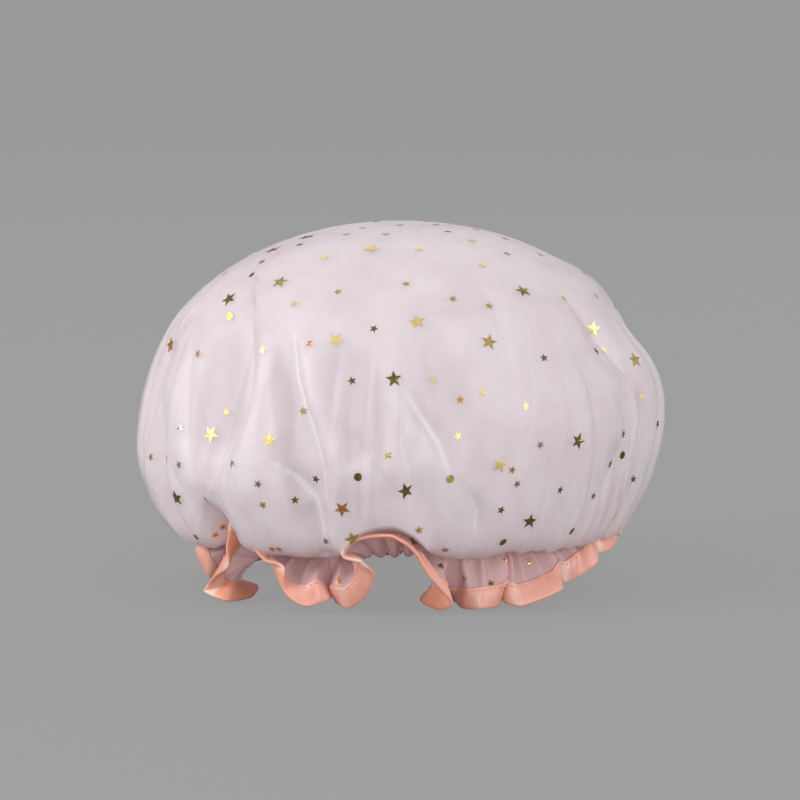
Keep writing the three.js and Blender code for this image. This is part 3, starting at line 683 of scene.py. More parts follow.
        def lowest(tried: np.ndarray) -> np.ndarray:
            """Height of the tape's lowest point at each turn, at the flare tried."""
            hem = self.frill_rings(turns, tried, lean)[-1]
            way = self.frill_way(turns, tried * TAPE_BENDS[1], lean * TAPE_SWAYS[1])
            level = np.hypot(way[:, 0], way[:, 1])
            return hem[:, 2] + way[:, 2] * size.tape_overrun - level * size.tape_half_thickness

        side = np.where(flare < 0, -1.0, 1.0)
        near, far = np.abs(flare), np.full_like(flare, math.pi / 2)
        sunk = lowest(flare) < 0.1 * MM
        for _ in range(24):
            middle = (near + far) / 2
            too_low = lowest(side * middle) < 0.1 * MM
            near, far = np.where(too_low, middle, near), np.where(too_low, far, middle)
        return np.where(sunk, side * far, flare)

    def control_rings(self, tape_way: np.ndarray, hem_way: np.ndarray) -> np.ndarray:
        """Rings of points that the fine rows pass through, from the pole to the hem."""
        size, turns = self.sizes, self.turns
        tape = self.casing_ring(turns, -size.casing_half) + tape_way
        hem = tape + hem_way
        way = unit(hem_way)
        level = np.hypot(way[:, 0], way[:, 1])
        low = hem[:, 2] + way[:, 2] * size.tape_overrun - level * size.tape_half_thickness
        sunk = np.clip(0.15 * MM - low, 0, None)
        hem[:, 2] += sunk
        tape[:, 2] += sunk / 2
        right = (1 + np.sin(turns)) / 2
        lift, reached = self.flute_lift(hem)
        near = np.exp(-(((turns + math.pi) % FULL_TURN - math.pi) / math.radians(58)) ** 2)
        rings = [np.tile([0.0, 0.0, size.height - size.skin], (len(turns), 1))]
        for row, (out_r, high_r, out_l, high_l) in enumerate(PROFILE):
            draw = FRONT_DRAWS.get(row, (0.0, 0.0))
            out = out_l + (out_r - out_l) * right - draw[0] * near
            high = high_l + (high_r - high_l) * right + draw[1] * near
            raised = LIFT_SHARES.get(row, 0.0) * lift
            dent = self.fold_depth(turns, high)
            across = (out * (size.width / 2 - size.skin) - dent) * np.sin(turns)
            away = -(out * (size.depth / 2 - size.skin) - dent) * np.cos(turns)
            far = np.hypot(across, away)
            wanted = np.clip(reached + LIFT_PUSHES.get(row, -1.0) - far, 0, None)
            more = 1 + smooth_step(0.0, 8 * MM, lift) * wanted / far
            level = high * (size.height - size.skin) + raised
            rings.append(np.stack([across * more, away * more, level], axis=-1))
        for reach in (size.casing_half, 0.0, -size.casing_half):
            rings.append(self.casing_ring(turns, reach))
        rings.extend([tape, hem])
        return np.stack(rings)

    def fold_depth(self, turns: np.ndarray, high: np.ndarray) -> np.ndarray:
        """Depth of the crown's soft folds at each turn and height share."""
        total = np.zeros_like(turns)
        for upper, lower, spread, depth, low, top in CROWN_FOLDS:
            raised = np.clip((high - low) / (top - low), 0, 1)
            place = lower + (upper - lower) * raised
            apart = np.abs((turns / FULL_TURN - place + 0.5) % 1.0 - 0.5) / spread
            total += depth * self.sizes.width * 4 * raised * (1 - raised) * np.exp(-(apart**2))
        return total

    def flute_lift(self, hem: np.ndarray) -> tuple[np.ndarray, np.ndarray]:
        """How far the crown's underside rises to clear the hem where it flares far out.

        Args:
            hem: The hem's points.

        Returns:
            The rise at each turn, and how far out the hem is that asks for it.
        """
        size, turns = self.sizes, self.turns
        right = (1 + np.sin(turns)) / 2
        low = (PROFILE[-1][3] + (PROFILE[-1][1] - PROFILE[-1][3]) * right) * size.height
        out = np.hypot(hem[:, 0], hem[:, 1])
        far = smooth_step(88 * MM, 102 * MM, out)
        rise = far * np.clip(hem[:, 2] + size.flute_clearance - low, 0, None)
        apart = (turns[:, None] - turns + math.pi) % FULL_TURN - math.pi
        bell = np.exp(-((apart / size.flute_lift_spread) ** 2))
        asked = rise * bell
        self.lifted = smooth_step(0.0, 9 * MM, (rise * bell**0.25).max(axis=1))
        weights = (asked / MM) ** 2
        reached = (weights * out).sum(axis=1) / np.maximum(weights.sum(axis=1), 1e-6)
        return asked.max(axis=1), reached

    def fill_rows(self, rings: np.ndarray) -> np.ndarray:
        """Fills the rows between the control rings along a smooth curve."""
        chords = np.linalg.norm(np.diff(rings, axis=0), axis=2).mean(axis=1)
        places = np.concatenate([[0.0], np.cumsum(chords)])
        mirrored = rings[1] * np.array([-1, -1, 1])
        slopes = np.empty_like(rings)
        slopes[0] = (rings[1] - mirrored) / (2 * chords[0])
        gaps = (places[2:] - places[:-2])[:, None, None]
        slopes[1:-1] = (rings[2:] - rings[:-2]) / gaps
        slopes[-1] = (rings[-1] - rings[-2]) / chords[-1]
        rows = []
        for k, count in enumerate(self.row_counts):
            for part in np.arange(count) / count:
                square, cube = part**2, part**3
                rows.append(
                    rings[k] * (2 * cube - 3 * square + 1)
                    + rings[k + 1] * (3 * square - 2 * cube)
                    + slopes[k] * chords[k] * (cube - 2 * square + part)
                    + slopes[k + 1] * chords[k] * (cube - square)
                )
        rows.append(rings[-1])
        return np.stack(rows)

    def measure(self) -> None:
        """Works out the normals, and each row's distance along the cloth."""
        across = np.roll(self.points, -1, axis=1) - np.roll(self.points, 1, axis=1)
        down = np.gradient(self.points, axis=0)
        across[0] = across[1]
        self.normals = unit(np.cross(across, -down))
        self.normals[0] = (0.0, 0.0, 1.0)
        self.downs = unit(down)
        steps = np.linalg.norm(np.diff(self.points, axis=0), axis=2).mean(axis=1)
        passed = np.concatenate([[0.0], np.cumsum(steps)])
        self.reach = passed[self.elastic_row] - passed
        radius = passed / passed[-1] * self.sizes.flat_diameter / 2
        self.flat = radius[:, None, None] * np.stack(
            [np.sin(self.turns), -np.cos(self.turns)], axis=-1
        )

    def sew_gathers(self) -> None:
        """Raises the gathers and sinks the creases, along the even surface's normals."""
        crown = smooth_step(4 * MM, 22 * MM, self.reach)[:, None]
        front = smooth_step(-0.3, 0.3, np.cos(self.turns)) * smooth_step(
            5 * MM, 14 * MM, self.reach
        )[:, None]
        height = np.zeros(self.points.shape[:2])
        lip = smooth_step(4 * MM, 10 * MM, self.reach) * (
            1 - smooth_step(34 * MM, 70 * MM, self.reach)
        )
        taut = 1 - 0.85 * np.outer(lip, self.lifted)
        for gather in GATHERS:
            eased = taut * (1 - gather.front_ease * front)
            height += gather.at(self.turns, self.reach) * eased
        height += 1.3 * MM * crown * FlatNoise(71, 70 * MM, 170 * MM).at(self.flat)
        height -= crown * self.crisp_folds() * (1 - 0.55 * front)
        # Painted highlight along the creases, kept as the gleam share
        self.gleam = np.zeros_like(height)
        # Painted shade in patches on the front
        self.painted_shade = painted_shade_share(self.points, self.normals)
        for crease in CREASES:
            sunk, gleam = crease.sink(self.points, self.normals)
            height -= crown * sunk
            self.gleam = np.maximum(self.gleam, crown * gleam)
        self.points = self.points + self.normals * height[..., None]
        flat, reach = self.flat, self.reach
        self.measure()
        self.flat, self.reach = flat, reach

    def crisp_folds(self) -> np.ndarray:
        """Depth of the crisp folds that the stiff organza breaks into as it puffs out."""
        total = np.zeros(self.reach.shape + self.turns.shape)
        for seed, waves, length, depth in CRISP_FOLDS:
            drift = RingNoise(seed, range(3, 11)).at(self.turns) * 2.2
            tilt = RingNoise(seed + 1, range(2, 7)).at(self.turns) * 1.6
            strength = np.clip(0.55 + RingNoise(seed + 2, range(4, 15)).at(self.turns), 0, 1.4)
            along = self.reach[:, None] / length
            wave = np.sin(waves * self.turns + drift + along * tilt)
            fade = np.sin(np.clip(along + 0.3 * drift / 2.2, 0, 1) * math.pi)
            total += depth * strength * fade * np.exp(-np.abs(wave) * 3.2)
        return total

    def layer(self, offset: np.ndarray) -> np.ndarray:
        """The surface moved along its normals by an offset for each row and column."""
        return self.points + self.normals * offset[..., None]

    def rows_at(self, place: float) -> tuple[np.ndarray, np.ndarray, np.ndarray]:
        """Points, normals and downward ways at a place counted in rows.

        A place past the last row lies off the hem, in the cloth's own direction.

        Args:
            place: Row number, whole or not.

        Returns:
            Three arrays with an entry for each column.
        """
        last = len(self.points) - 1
        low = min(int(place), last - 1)
        part = place - low
        spots = self.points[low] + (self.points[low + 1] - self.points[low]) * part
        share = min(part, 1.0)
        normal = unit(self.normals[low] * (1 - share) + self.normals[low + 1] * share)
        down = unit(self.downs[low] * (1 - share) + self.downs[low + 1] * share)
        return spots, normal, down


# --- Mesh building -------------------------------------------------------------------------


def new_piece(name: str, vertices: np.ndarray, faces: list[list[int]]) -> bpy.types.Object:
    """Makes a smooth shaded object from points and faces, at the origin.

    Args:
        name: Name of the piece.
        vertices: Points in metres.
        faces: Corner numbers of each face.

    Returns:
        The new object, linked to the scene.
    """
    mesh = bpy.data.meshes.new(name)
    mesh.from_pydata(vertices.reshape(-1, 3).tolist(), [], faces)
    mesh.validate()
    mesh.shade_smooth()
    piece = bpy.data.objects.new(name, mesh)
    bpy.context.scene.collection.objects.link(piece)
    return piece


def paint_uv(piece: bpy.types.Object, places: np.ndarray, name: str = "cut") -> None:
    """Gives each corner the flat place of its vertex, in metres."""
    layer = piece.data.uv_layers.new(name=name)
    corners = np.empty(len(piece.data.loops), dtype=int)
    piece.data.loops.foreach_get("vertex_index", corners)
    layer.data.foreach_set("uv", places.reshape(-1, 2)[corners].astype(np.float32).ravel())


def paint_share(piece: bpy.types.Object, name: str, shares: np.ndarray) -> None:
    """Stores a number from 0 to 1 on each vertex."""
    attribute = piece.data.attributes.new(name, "FLOAT", "POINT")
    attribute.data.foreach_set("value", shares.astype(np.float32).ravel())


def ring_faces(rows: int, columns: int, start: int = 0, closed: bool = False) -> list[list[int]]:
    """Faces between rows of a ring grid, wound so that they face the rows' right hand.

    Args:
        rows: Number of rows.
        columns: Points in each row, which closes on itself.
        start: Number of the first vertex.
        closed: Whether the last row joins the first.

    Returns:
        Corner numbers, four to a face.
    """
    faces = []
    for row in range(rows if closed else rows - 1):
        here, below = start + row * columns, start + (row + 1) % rows * columns
        for column in range(columns):
            beside = (column + 1) % columns
            faces.append([here + column, below + column, below + beside, here + beside])
    return faces


def finish_piece(
    piece: bpy.types.Object, material: bpy.types.Material, slot: str, *nodes: str
) -> bpy.types.Object:
    """Dresses a piece, puts it on the part's body and lets it stand for solids.

    Args:
        piece: The finished object.
        material: Its finish.
        slot: The record's material slot; not used.
        nodes: Solids that it replaces.

    Returns:
        The same object.
    """
    piece.data.materials.clear()
    piece.data.materials.append(material)
    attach(piece, BODY)
    if nodes:
        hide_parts(*nodes)
    LOG.info("%s: %d faces", piece.name, len(piece.data.polygons))
    return piece


# --- Finishes ------------------------------------------------------------------------------


def add_node(
    tree: bpy.types.NodeTree, kind: str, inputs: dict | None = None, **settings: object
) -> bpy.types.Node:
    """Adds a shader node with its settings, values and links.

    Args:
        tree: Node tree of a material or of the world.
        kind: Type of the node, without its common prefix.
        inputs: Values or source sockets, by the name or number of the socket.
        settings: Properties of the node.

    Returns:
        The new node.
    """
    node = tree.nodes.new("ShaderNode" + kind)
    for key, value in settings.items():
        setattr(node, key, value)
    for key, value in (inputs or {}).items():
        if isinstance(value, bpy.types.NodeSocket):
            tree.links.new(value, node.inputs[key])
        else:
            node.inputs[key].default_value = value
    return node


def blank_material(name: str) -> tuple[bpy.types.Material, bpy.types.NodeTree]:
    """A material whose node tree is empty."""
    material = bpy.data.materials.new(name)
    material.use_nodes = True
    material.node_tree.nodes.clear()
    return material, material.node_tree


def close_material(tree: bpy.types.NodeTree, shader: bpy.types.NodeSocket) -> None:
    """Adds the output that shows a shader."""
    add_node(tree, "OutputMaterial", {"Surface": shader})


def band_scale(pitch: float) -> float:
    """Scale at which a wave texture's bands repeat at a pitch, in metres."""
    return FULL_TURN / 20 / pitch


def set_ramp(node: bpy.types.Node, stops: tuple[tuple[float, str], ...]) -> None:
    """Gives a colour ramp its stops."""
    ramp = node.color_ramp
    while len(ramp.elements) > 2:
        ramp.elements.remove(ramp.elements[-1])
    for i, (place, colour) in enumerate(stops):
        element = ramp.elements[i] if i < 2 else ramp.elements.new(place)
        element.position, element.color = place, linear(colour)


@dataclass(frozen=True)
class Organza:
    """Crisp polyester organza, woven of very fine thread and calendered.

    It gives the eye a sheer pinkish white with a soft silky sheen, a painted highlight along the
    creases, painted shade in greyer patches, a pinker frill that is painted reflection of the coral
    tape over the pink of its doubled cloth, and a faint hatching of its threads. The real threads
    lie about 0.3 mm apart, too fine to show, so the weave is drawn at 1.5 mm.
    """

    pitch: float = 1.5 * MM
    cover: float = 0.6
    pale: str = "fcf6f9"
    deep: str = "f4ebef"
    # Pinker towards the hem: painted reflection of the coral tape over the pink of the doubled
    # frill cloth
    frill_pink_and_reflection: str = "f9dbdc"
    # Greyer colour of the painted shade patches
    painted_shade: str = "d9cfd6"

    def build(self) -> bpy.types.Material:
        """Makes the material."""
        material, tree = blank_material("woven polyester organza")
        cut = add_node(tree, "UVMap", uv_map="cut").outputs["UV"]
        turned = add_node(
            tree, "Mapping", {"Vector": cut, "Rotation": (0, 0, math.radians(38))}
        ).outputs["Vector"]
        bands = [
            add_node(
                tree,
                "TexWave",
                {"Vector": turned, "Scale": band_scale(self.pitch), "Distortion": 0.0},
                wave_type="BANDS",
                bands_direction=way,
            ).outputs["Fac"]
            for way in ("X", "Y")
        ]
        weave = add_node(tree, "Math", {0: bands[0], 1: bands[1]}, operation="ADD").outputs[0]
        cloud = add_node(
            tree, "TexNoise", {"Vector": cut, "Scale": 22.0, "Detail": 4.0, "Roughness": 0.55}
        ).outputs["Fac"]
        tint = add_node(tree, "ValToRGB", {"Fac": cloud})
        set_ramp(tint, ((0.35, self.deep), (0.65, self.pale)))
        # Pinker towards the hem: painted reflection of the coral tape over the doubled cloth; the
        # same share adds translucency below
        frill = add_node(tree, "Attribute", attribute_name="frill").outputs["Fac"]
        colour = add_node(
            tree,
            "Mix",
            {0: frill, 6: tint.outputs["Color"], 7: linear(self.frill_pink_and_reflection)},
            data_type="RGBA",
        ).outputs[2]
        # Painted shade: the organza turns greyer in the listed patches
        painted_shade = add_node(tree, "Attribute", attribute_name="painted_shade").outputs["Fac"]
        colour = add_node(
            tree, "Mix", {0: painted_shade, 6: colour, 7: linear(self.painted_shade)}, data_type="RGBA"
        ).outputs[2]
        # Painted highlight: the organza whitens along the creases; the same share makes the doubled
        # cloth more opaque below
        gleam = add_node(tree, "Attribute", attribute_name="gleam").outputs["Fac"]
        colour = add_node(
            tree, "Mix", {0: gleam, 6: colour, 7: linear("ffffff")}, data_type="RGBA"
        ).outputs[2]
        threads = add_node(
            tree,
            "MapRange",
            {0: weave, 1: 0.0, 2: 2.0, 3: self.cover - 0.025, 4: self.cover + 0.025},
        ).outputs[0]
        doubled = add_node(tree, "Math", {0: gleam, 1: 0.3}, operation="MULTIPLY").outputs[0]
        threads = add_node(tree, "Math", {0: threads, 1: doubled}, operation="ADD").outputs[0]
        opaque = add_node(
            tree, "MapRange", {0: cloud, 1: 0.3, 2: 0.7, 3: -0.04, 4: 0.04}
        ).outputs[0]
        cover = add_node(tree, "Math", {0: threads, 1: opaque}, operation="ADD").outputs[0]
        bump = add_node(
            tree, "Bump", {"Height": weave, "Strength": 0.08, "Distance": 0.05 * MM}
        ).outputs["Normal"]
        gloss = add_node(
            tree, "MapRange", {0: cloud, 1: 0.3, 2: 0.7, 3: 0.34, 4: 0.46}
        ).outputs[0]
        cloth = add_node(
            tree,
            "BsdfPrincipled",
            {
                "Base Color": colour,
                "Roughness": gloss,
                "Normal": bump,
                "Sheen Weight": 0.35,
                "Sheen Roughness": 0.35,
                "Sheen Tint": linear("fff4f6"),
            },
        ).outputs[0]
        through = add_node(tree, "BsdfTranslucent", {"Color": colour}).outputs[0]
        glow = add_node(tree, "MapRange", {0: frill, 1: 0.0, 2: 1.0, 3: 0.3, 4: 0.42}).outputs[0]
        woven = add_node(tree, "MixShader", {0: glow, 1: cloth, 2: through}).outputs[0]
        clear = add_node(tree, "BsdfTransparent").outputs[0]
        close_material(
            tree, add_node(tree, "MixShader", {0: cover, 1: clear, 2: woven}).outputs[0]
        )
        return material


@dataclass(frozen=True)
class MilkyFilm:
    """EVA film, blown thin and slightly matte.

    It gives the eye a milky, softly glowing skin with shallow crinkles.
    """

    pale: str = "fbf4f6"
    deep: str = "f1e7ea"
    # Pinker towards the hem: painted reflection of the coral tape over the pink of the doubled
    # frill cloth
    frill_pink_and_reflection: str = "fbe0e1"

    def build(self) -> bpy.types.Material:
        """Makes the material."""
        material, tree = blank_material("blown EVA film")
        cut = add_node(tree, "UVMap", uv_map="cut").outputs["UV"]
        crinkle = add_node(
            tree,
            "TexNoise",
            {"Vector": cut, "Scale": 60.0, "Detail": 5.0, "Roughness": 0.6, "Distortion": 0.6},
        ).outputs["Fac"]
        tint = add_node(tree, "ValToRGB", {"Fac": crinkle})
        set_ramp(tint, ((0.35, self.deep), (0.62, self.pale)))
        # Pinker towards the hem: painted reflection of the coral tape over the doubled cloth
        frill = add_node(tree, "Attribute", attribute_name="frill").outputs["Fac"]
        colour = add_node(
            tree,
            "Mix",
            {0: frill, 6: tint.outputs["Color"], 7: linear(self.frill_pink_and_reflection)},
            data_type="RGBA",
        ).outputs[2]
        bump = add_node(
            tree, "Bump", {"Height": crinkle, "Strength": 0.35, "Distance": 1.2 * MM}
        ).outputs["Normal"]
        gloss = add_node(
            tree, "MapRange", {0: crinkle, 1: 0.3, 2: 0.7, 3: 0.36, 4: 0.52}
        ).outputs[0]
        film = add_node(
            tree,
            "BsdfPrincipled",
            {"Base Color": colour, "Roughness": gloss, "Normal": bump, "IOR": 1.48},
        ).outputs[0]
        through = add_node(tree, "BsdfTranslucent", {"Color": colour}).outputs[0]
        glow = add_node(tree, "MapRange", {0: frill, 1: 0.0, 2: 1.0, 3: 0.25, 4: 0.45}).outputs[0]
        close_material(
            tree, add_node(tree, "MixShader", {0: glow, 1: film, 2: through}).outputs[0]
        )
        return material


@dataclass(frozen=True)
class SatinTape:
    """Polyester satin bias tape, woven with its floats showing and pressed.

    It gives the eye a coral band with a painted highlight, pale cream, along its sharp folds, a
    deeper orange over its whole inner face, painted shade with the light that two faces of it throw
    at each other, and fine slanting floats. The real floats lie about 0.2 mm apart, too fine to
    show, so they are drawn at 1.1 mm.
    """

    pitch: float = 1.1 * MM
    pale: str = "f3b4a2"
    deep: str = "e49e8a"
    # Deeper orange of the inner face: painted shade with the tape's own reflected light
    inside: str = "ee9f80"
    # Pale cream of the painted highlight along the sharp folds
    edge: str = "fdeee4"

    def build(self) -> bpy.types.Material:
        """Makes the material."""
        material, tree = blank_material("woven satin bias tape")
        cut = add_node(tree, "UVMap", uv_map="cut").outputs["UV"]
        slant = add_node(
            tree, "Mapping", {"Vector": cut, "Rotation": (0, 0, math.radians(45))}
        ).outputs["Vector"]
        floats = add_node(
            tree,
            "TexWave",
            {"Vector": slant, "Scale": band_scale(self.pitch), "Distortion": 0.4},
            wave_type="BANDS",
        ).outputs["Fac"]
        cloud = add_node(
            tree, "TexNoise", {"Vector": cut, "Scale": 60.0, "Detail": 3.0}
        ).outputs["Fac"]
        tint = add_node(tree, "ValToRGB", {"Fac": cloud})
        set_ramp(tint, ((0.32, self.deep), (0.68, self.pale)))
        shade = add_node(
            tree,
            "MapRange",
            {0: floats, 1: 0.0, 2: 1.0, 3: 0.97, 4: 1.02},
        ).outputs[0]
        # Painted shade and reflected light: the whole inner face turns deeper orange
        inside = add_node(tree, "Attribute", attribute_name="inside").outputs["Fac"]
        edge = add_node(tree, "Attribute", attribute_name="edge").outputs["Fac"]
        colour = add_node(
            tree,
            "Mix",
            {0: inside, 6: tint.outputs["Color"], 7: linear(self.inside)},
            data_type="RGBA",
        ).outputs[2]
        # Painted highlight: the tape turns pale cream along its sharp folds
        colour = add_node(
            tree, "Mix", {0: edge, 6: colour, 7: linear(self.edge)}, data_type="RGBA"
        ).outputs[2]
        colour = add_node(
            tree,
            "Mix",
            {0: 1.0, 6: colour, 7: shade},
            data_type="RGBA",
            blend_type="MULTIPLY",
        ).outputs[2]
        bump = add_node(
            tree, "Bump", {"Height": floats, "Strength": 0.15, "Distance": 0.08 * MM}
        ).outputs["Normal"]
        gloss = add_node(
            tree, "MapRange", {0: cloud, 1: 0.3, 2: 0.7, 3: 0.32, 4: 0.42}
        ).outputs[0]
        satin = add_node(
            tree,
            "BsdfPrincipled",
            {
                "Base Color": colour,
                "Roughness": gloss,
                "Normal": bump,
                "Sheen Weight": 0.3,
                "Sheen Roughness": 0.3,
                "Sheen Tint": linear("fff1e8"),
            },
        ).outputs[0]
        close_material(tree, satin)
        return material


@dataclass(frozen=True)
class SewingThread:
    """Spun polyester sewing thread, two plies twisted together.

    It gives the eye short plump dashes with slanting plies, drawn at 0.5 mm.
    """

    name: str
    pale: str
    deep: str
    ply: float = 0.5 * MM

    def build(self) -> bpy.types.Material:
        """Makes the material."""
        material, tree = blank_material(self.name)
        cut = add_node(tree, "UVMap", uv_map="cut").outputs["UV"]
        plies = add_node(
            tree,
            "TexWave",
            {"Vector": cut, "Scale": band_scale(self.ply)},
            wave_type="BANDS",
            bands_direction="DIAGONAL",
        ).outputs["Fac"]
        tint = add_node(tree, "ValToRGB", {"Fac": plies})
        set_ramp(tint, ((0.2, self.deep), (0.8, self.pale)))
        bump = add_node(
            tree, "Bump", {"Height": plies, "Strength": 0.5, "Distance": 0.05 * MM}
        ).outputs["Normal"]
        spun = add_node(
            tree,
            "BsdfPrincipled",
            {
                "Base Color": tint.outputs["Color"],
                "Roughness": 0.7,
                "Normal": bump,
                "Sheen Weight": 0.2,
            },
        ).outputs[0]
        close_material(tree, spun)
        return material


@dataclass(frozen=True)
class KnittedElastic:
    """Braided elastic, polyester over rubber.

    It gives the eye a white band with close ribs along it and short slanting threads.
    """

    rib: float = 1.0 * MM

    def build(self) -> bpy.types.Material:
        """Makes the material."""
        material, tree = blank_material("braided polyester elastic")
        cut = add_node(tree, "UVMap", uv_map="cut").outputs["UV"]
        ribs = [
            add_node(
                tree,
                "TexWave",
                {"Vector": cut, "Scale": band_scale(self.rib), "Distortion": 0.5},
                wave_type="BANDS",
                bands_direction=way,
            ).outputs["Fac"]
            for way in ("Y", "DIAGONAL")
        ]
        knit = add_node(tree, "Math", {0: ribs[0], 1: ribs[1]}, operation="MULTIPLY").outputs[0]
        tint = add_node(tree, "ValToRGB", {"Fac": knit})
        set_ramp(tint, ((0.1, "d8d3cf"), (0.7, "f2efec")))
        bump = add_node(
            tree, "Bump", {"Height": knit, "Strength": 0.6, "Distance": 0.15 * MM}
        ).outputs["Normal"]
        braid = add_node(
            tree,
            "BsdfPrincipled",
            {"Base Color": tint.outputs["Color"], "Roughness": 0.8, "Normal": bump},
        ).outputs[0]
        close_material(tree, braid)
        return material


class FoilTone(Enum):
    """Painted reflection of the one gold foil: how the hot stamped foil meets the light, from pale
    to dark.
    """

    CREAM = "cream"
    GOLD = "gold"
    OLIVE = "olive"
    COPPER = "copper"
    SILVER = "silver"


@dataclass(frozen=True)
class HotFoil:
    """Aluminium foil with a gold lacquer, hot stamped on the cloth.

    It gives the eye a small bright mirror, slightly crinkled by the threads under it, whose colour
    is a painted reflection: cream, gold, olive or brown by the way it lies.
    """

    tone: FoilTone

    def build(self) -> bpy.types.Material:
        """Makes the material."""
        # Painted reflection: lit and shaded copies of the one gold foil, from pale to dark
        pale, deep, rough = {
            FoilTone.CREAM: ("fbe7a8", "e9cf86", 0.42),
            FoilTone.GOLD: ("d8c37c", "b39b52", 0.3),
            FoilTone.OLIVE: ("8f8444", "655b2c", 0.26),
            FoilTone.COPPER: ("dba56a", "b37d48", 0.32),
            FoilTone.SILVER: ("b7b0ac", "857d7c", 0.3),
        }[self.tone]
        material, tree = blank_material(f"hot stamped {self.tone.value} foil")
        here = add_node(tree, "TexCoord").outputs["Object"]
        crinkle = add_node(
            tree, "TexNoise", {"Vector": here, "Scale": 700.0, "Detail": 2.0}
        ).outputs["Fac"]
        tint = add_node(tree, "ValToRGB", {"Fac": crinkle})
        set_ramp(tint, ((0.35, deep), (0.65, pale)))
        bump = add_node(
            tree, "Bump", {"Height": crinkle, "Strength": 0.4, "Distance": 0.15 * MM}
        ).outputs["Normal"]
        foil = add_node(
            tree,
            "BsdfPrincipled",
            {
                "Base Color": tint.outputs["Color"],
                "Metallic": 0.85,
                "Roughness": rough,
                "Normal": bump,
            },
        ).outputs[0]
        close_material(tree, foil)
        return material


@dataclass(frozen=True)
class StudioPaper:
    """Seamless matte paper, of a plain mid grey."""

    grey: str = "a0a0a0"
    glow: float = 0.82

    def build(self) -> bpy.types.Material:
        """Makes the material: part of its grey is its own, so that it stays even."""
        material, tree = blank_material("matte paper")
        matte = add_node(tree, "BsdfDiffuse", {"Color": linear(self.grey)}).outputs[0]
        even = add_node(
            tree, "Emission", {"Color": linear(self.grey), "Strength": 1.0}
        ).outputs[0]
        seen = add_node(tree, "LightPath").outputs["Is Camera Ray"]
        share = add_node(tree, "Math", {0: seen, 1: self.glow}, operation="MULTIPLY").outputs[0]
        close_material(
            tree, add_node(tree, "MixShader", {0: share, 1: matte, 2: even}).outputs[0]
        )
        return material


# --- The sewn pieces -----------------------------------------------------------------------


@dataclass
class ClothDiscs:
    """The two gathered discs: sheer organza outside, and the milky film inside it.

    Attributes:
        form: The middle surface that both are laid on.
        half_gap: Half the distance between them in the frill.
        puff: How far each stands off the elastic in the casing.
        slack: How far the film hangs inside the crown.
        side_slack: How much further it hangs on the right.
    """

    form: CapForm
    half_gap: float = 0.3 * MM
    puff: float = 0.8 * MM
    slack: float = 2.2 * MM
    side_slack: float = 7 * MM

    def casing_puff(self, seed: int) -> np.ndarray:
        """How far the cloth stands off the elastic between the two rows of stitches."""
        form = self.form
        share = np.clip(np.abs(form.reach) / form.sizes.casing_half, 0, 1)
        arch = np.cos(share * math.pi / 2) ** 0.8
        beat = np.abs(np.sin(33.5 * form.turns + RingNoise(seed, range(2, 9)).at(form.turns)))
        return np.outer(arch, 0.55 + 0.9 * beat) * self.puff

    def film_slack(self) -> np.ndarray:
        """How far the film hangs inside the organza over the crown."""
        form = self.form
        crown = smooth_step(20 * MM, 70 * MM, form.reach)[:, None]
        low = smooth_step(25 * MM, 60 * MM, form.reach) * (
            1 - smooth_step(90 * MM, 150 * MM, form.reach)
        )
        apart = (form.turns - math.radians(75) + math.pi) % FULL_TURN - math.pi
        side = np.exp(-(apart**2) / 0.35)
        folds = np.abs(FlatNoise(5, 22 * MM, 70 * MM, 24).at(form.flat))
        return crown * (self.slack * (0.4 + folds)) + np.outer(low, side) * self.side_slack

    def disc(self, name: str, offset: np.ndarray) -> bpy.types.Object:
        """Makes one disc as a single sheet, closed at its pole."""
        form = self.form
        places = form.layer(offset)
        columns = len(form.turns)
        vertices = np.concatenate([places[0, :1], places[1:].reshape(-1, 3)])
        faces = [[0, 1 + i, 1 + (i + 1) % columns] for i in range(columns)]
        faces += ring_faces(len(places) - 1, columns, 1)
        piece = new_piece(name, vertices, faces)
        paint_uv(piece, np.concatenate([form.flat[0, :1], form.flat[1:].reshape(-1, 2)]))
        # Share towards the hem: it tints the cloth pinker, painted reflection of the coral tape
        # over the doubled cloth, and makes it more translucent
        frill = 1 - smooth_step(0 * MM, 50 * MM, form.reach)
        shares = np.repeat(frill[1:], columns)
        paint_share(piece, "frill", np.concatenate([[0.0], shares]))
        # Share of painted highlight along the creases
        paint_share(piece, "gleam", np.concatenate([[0.0], form.gleam[1:].reshape(-1)]))
        # Share of painted shade in the greyer patches
        paint_share(piece, "painted_shade", np.concatenate([[0.0], form.painted_shade[1:].reshape(-1)]))
        return piece

    def build(self) -> tuple[bpy.types.Object, bpy.types.Object]:
        """Makes both discs."""
        cover = self.disc("organza_cover", self.half_gap + self.casing_puff(3))
        finish_piece(cover, Organza().build(), "organza", "outer_cover")
        inner = -self.half_gap - self.film_slack() - 1.3 * self.casing_puff(9)
        film = self.disc("film_lining", inner)
        finish_piece(film, MilkyFilm().build(), "film", "waterproof_lining")
        return cover, film


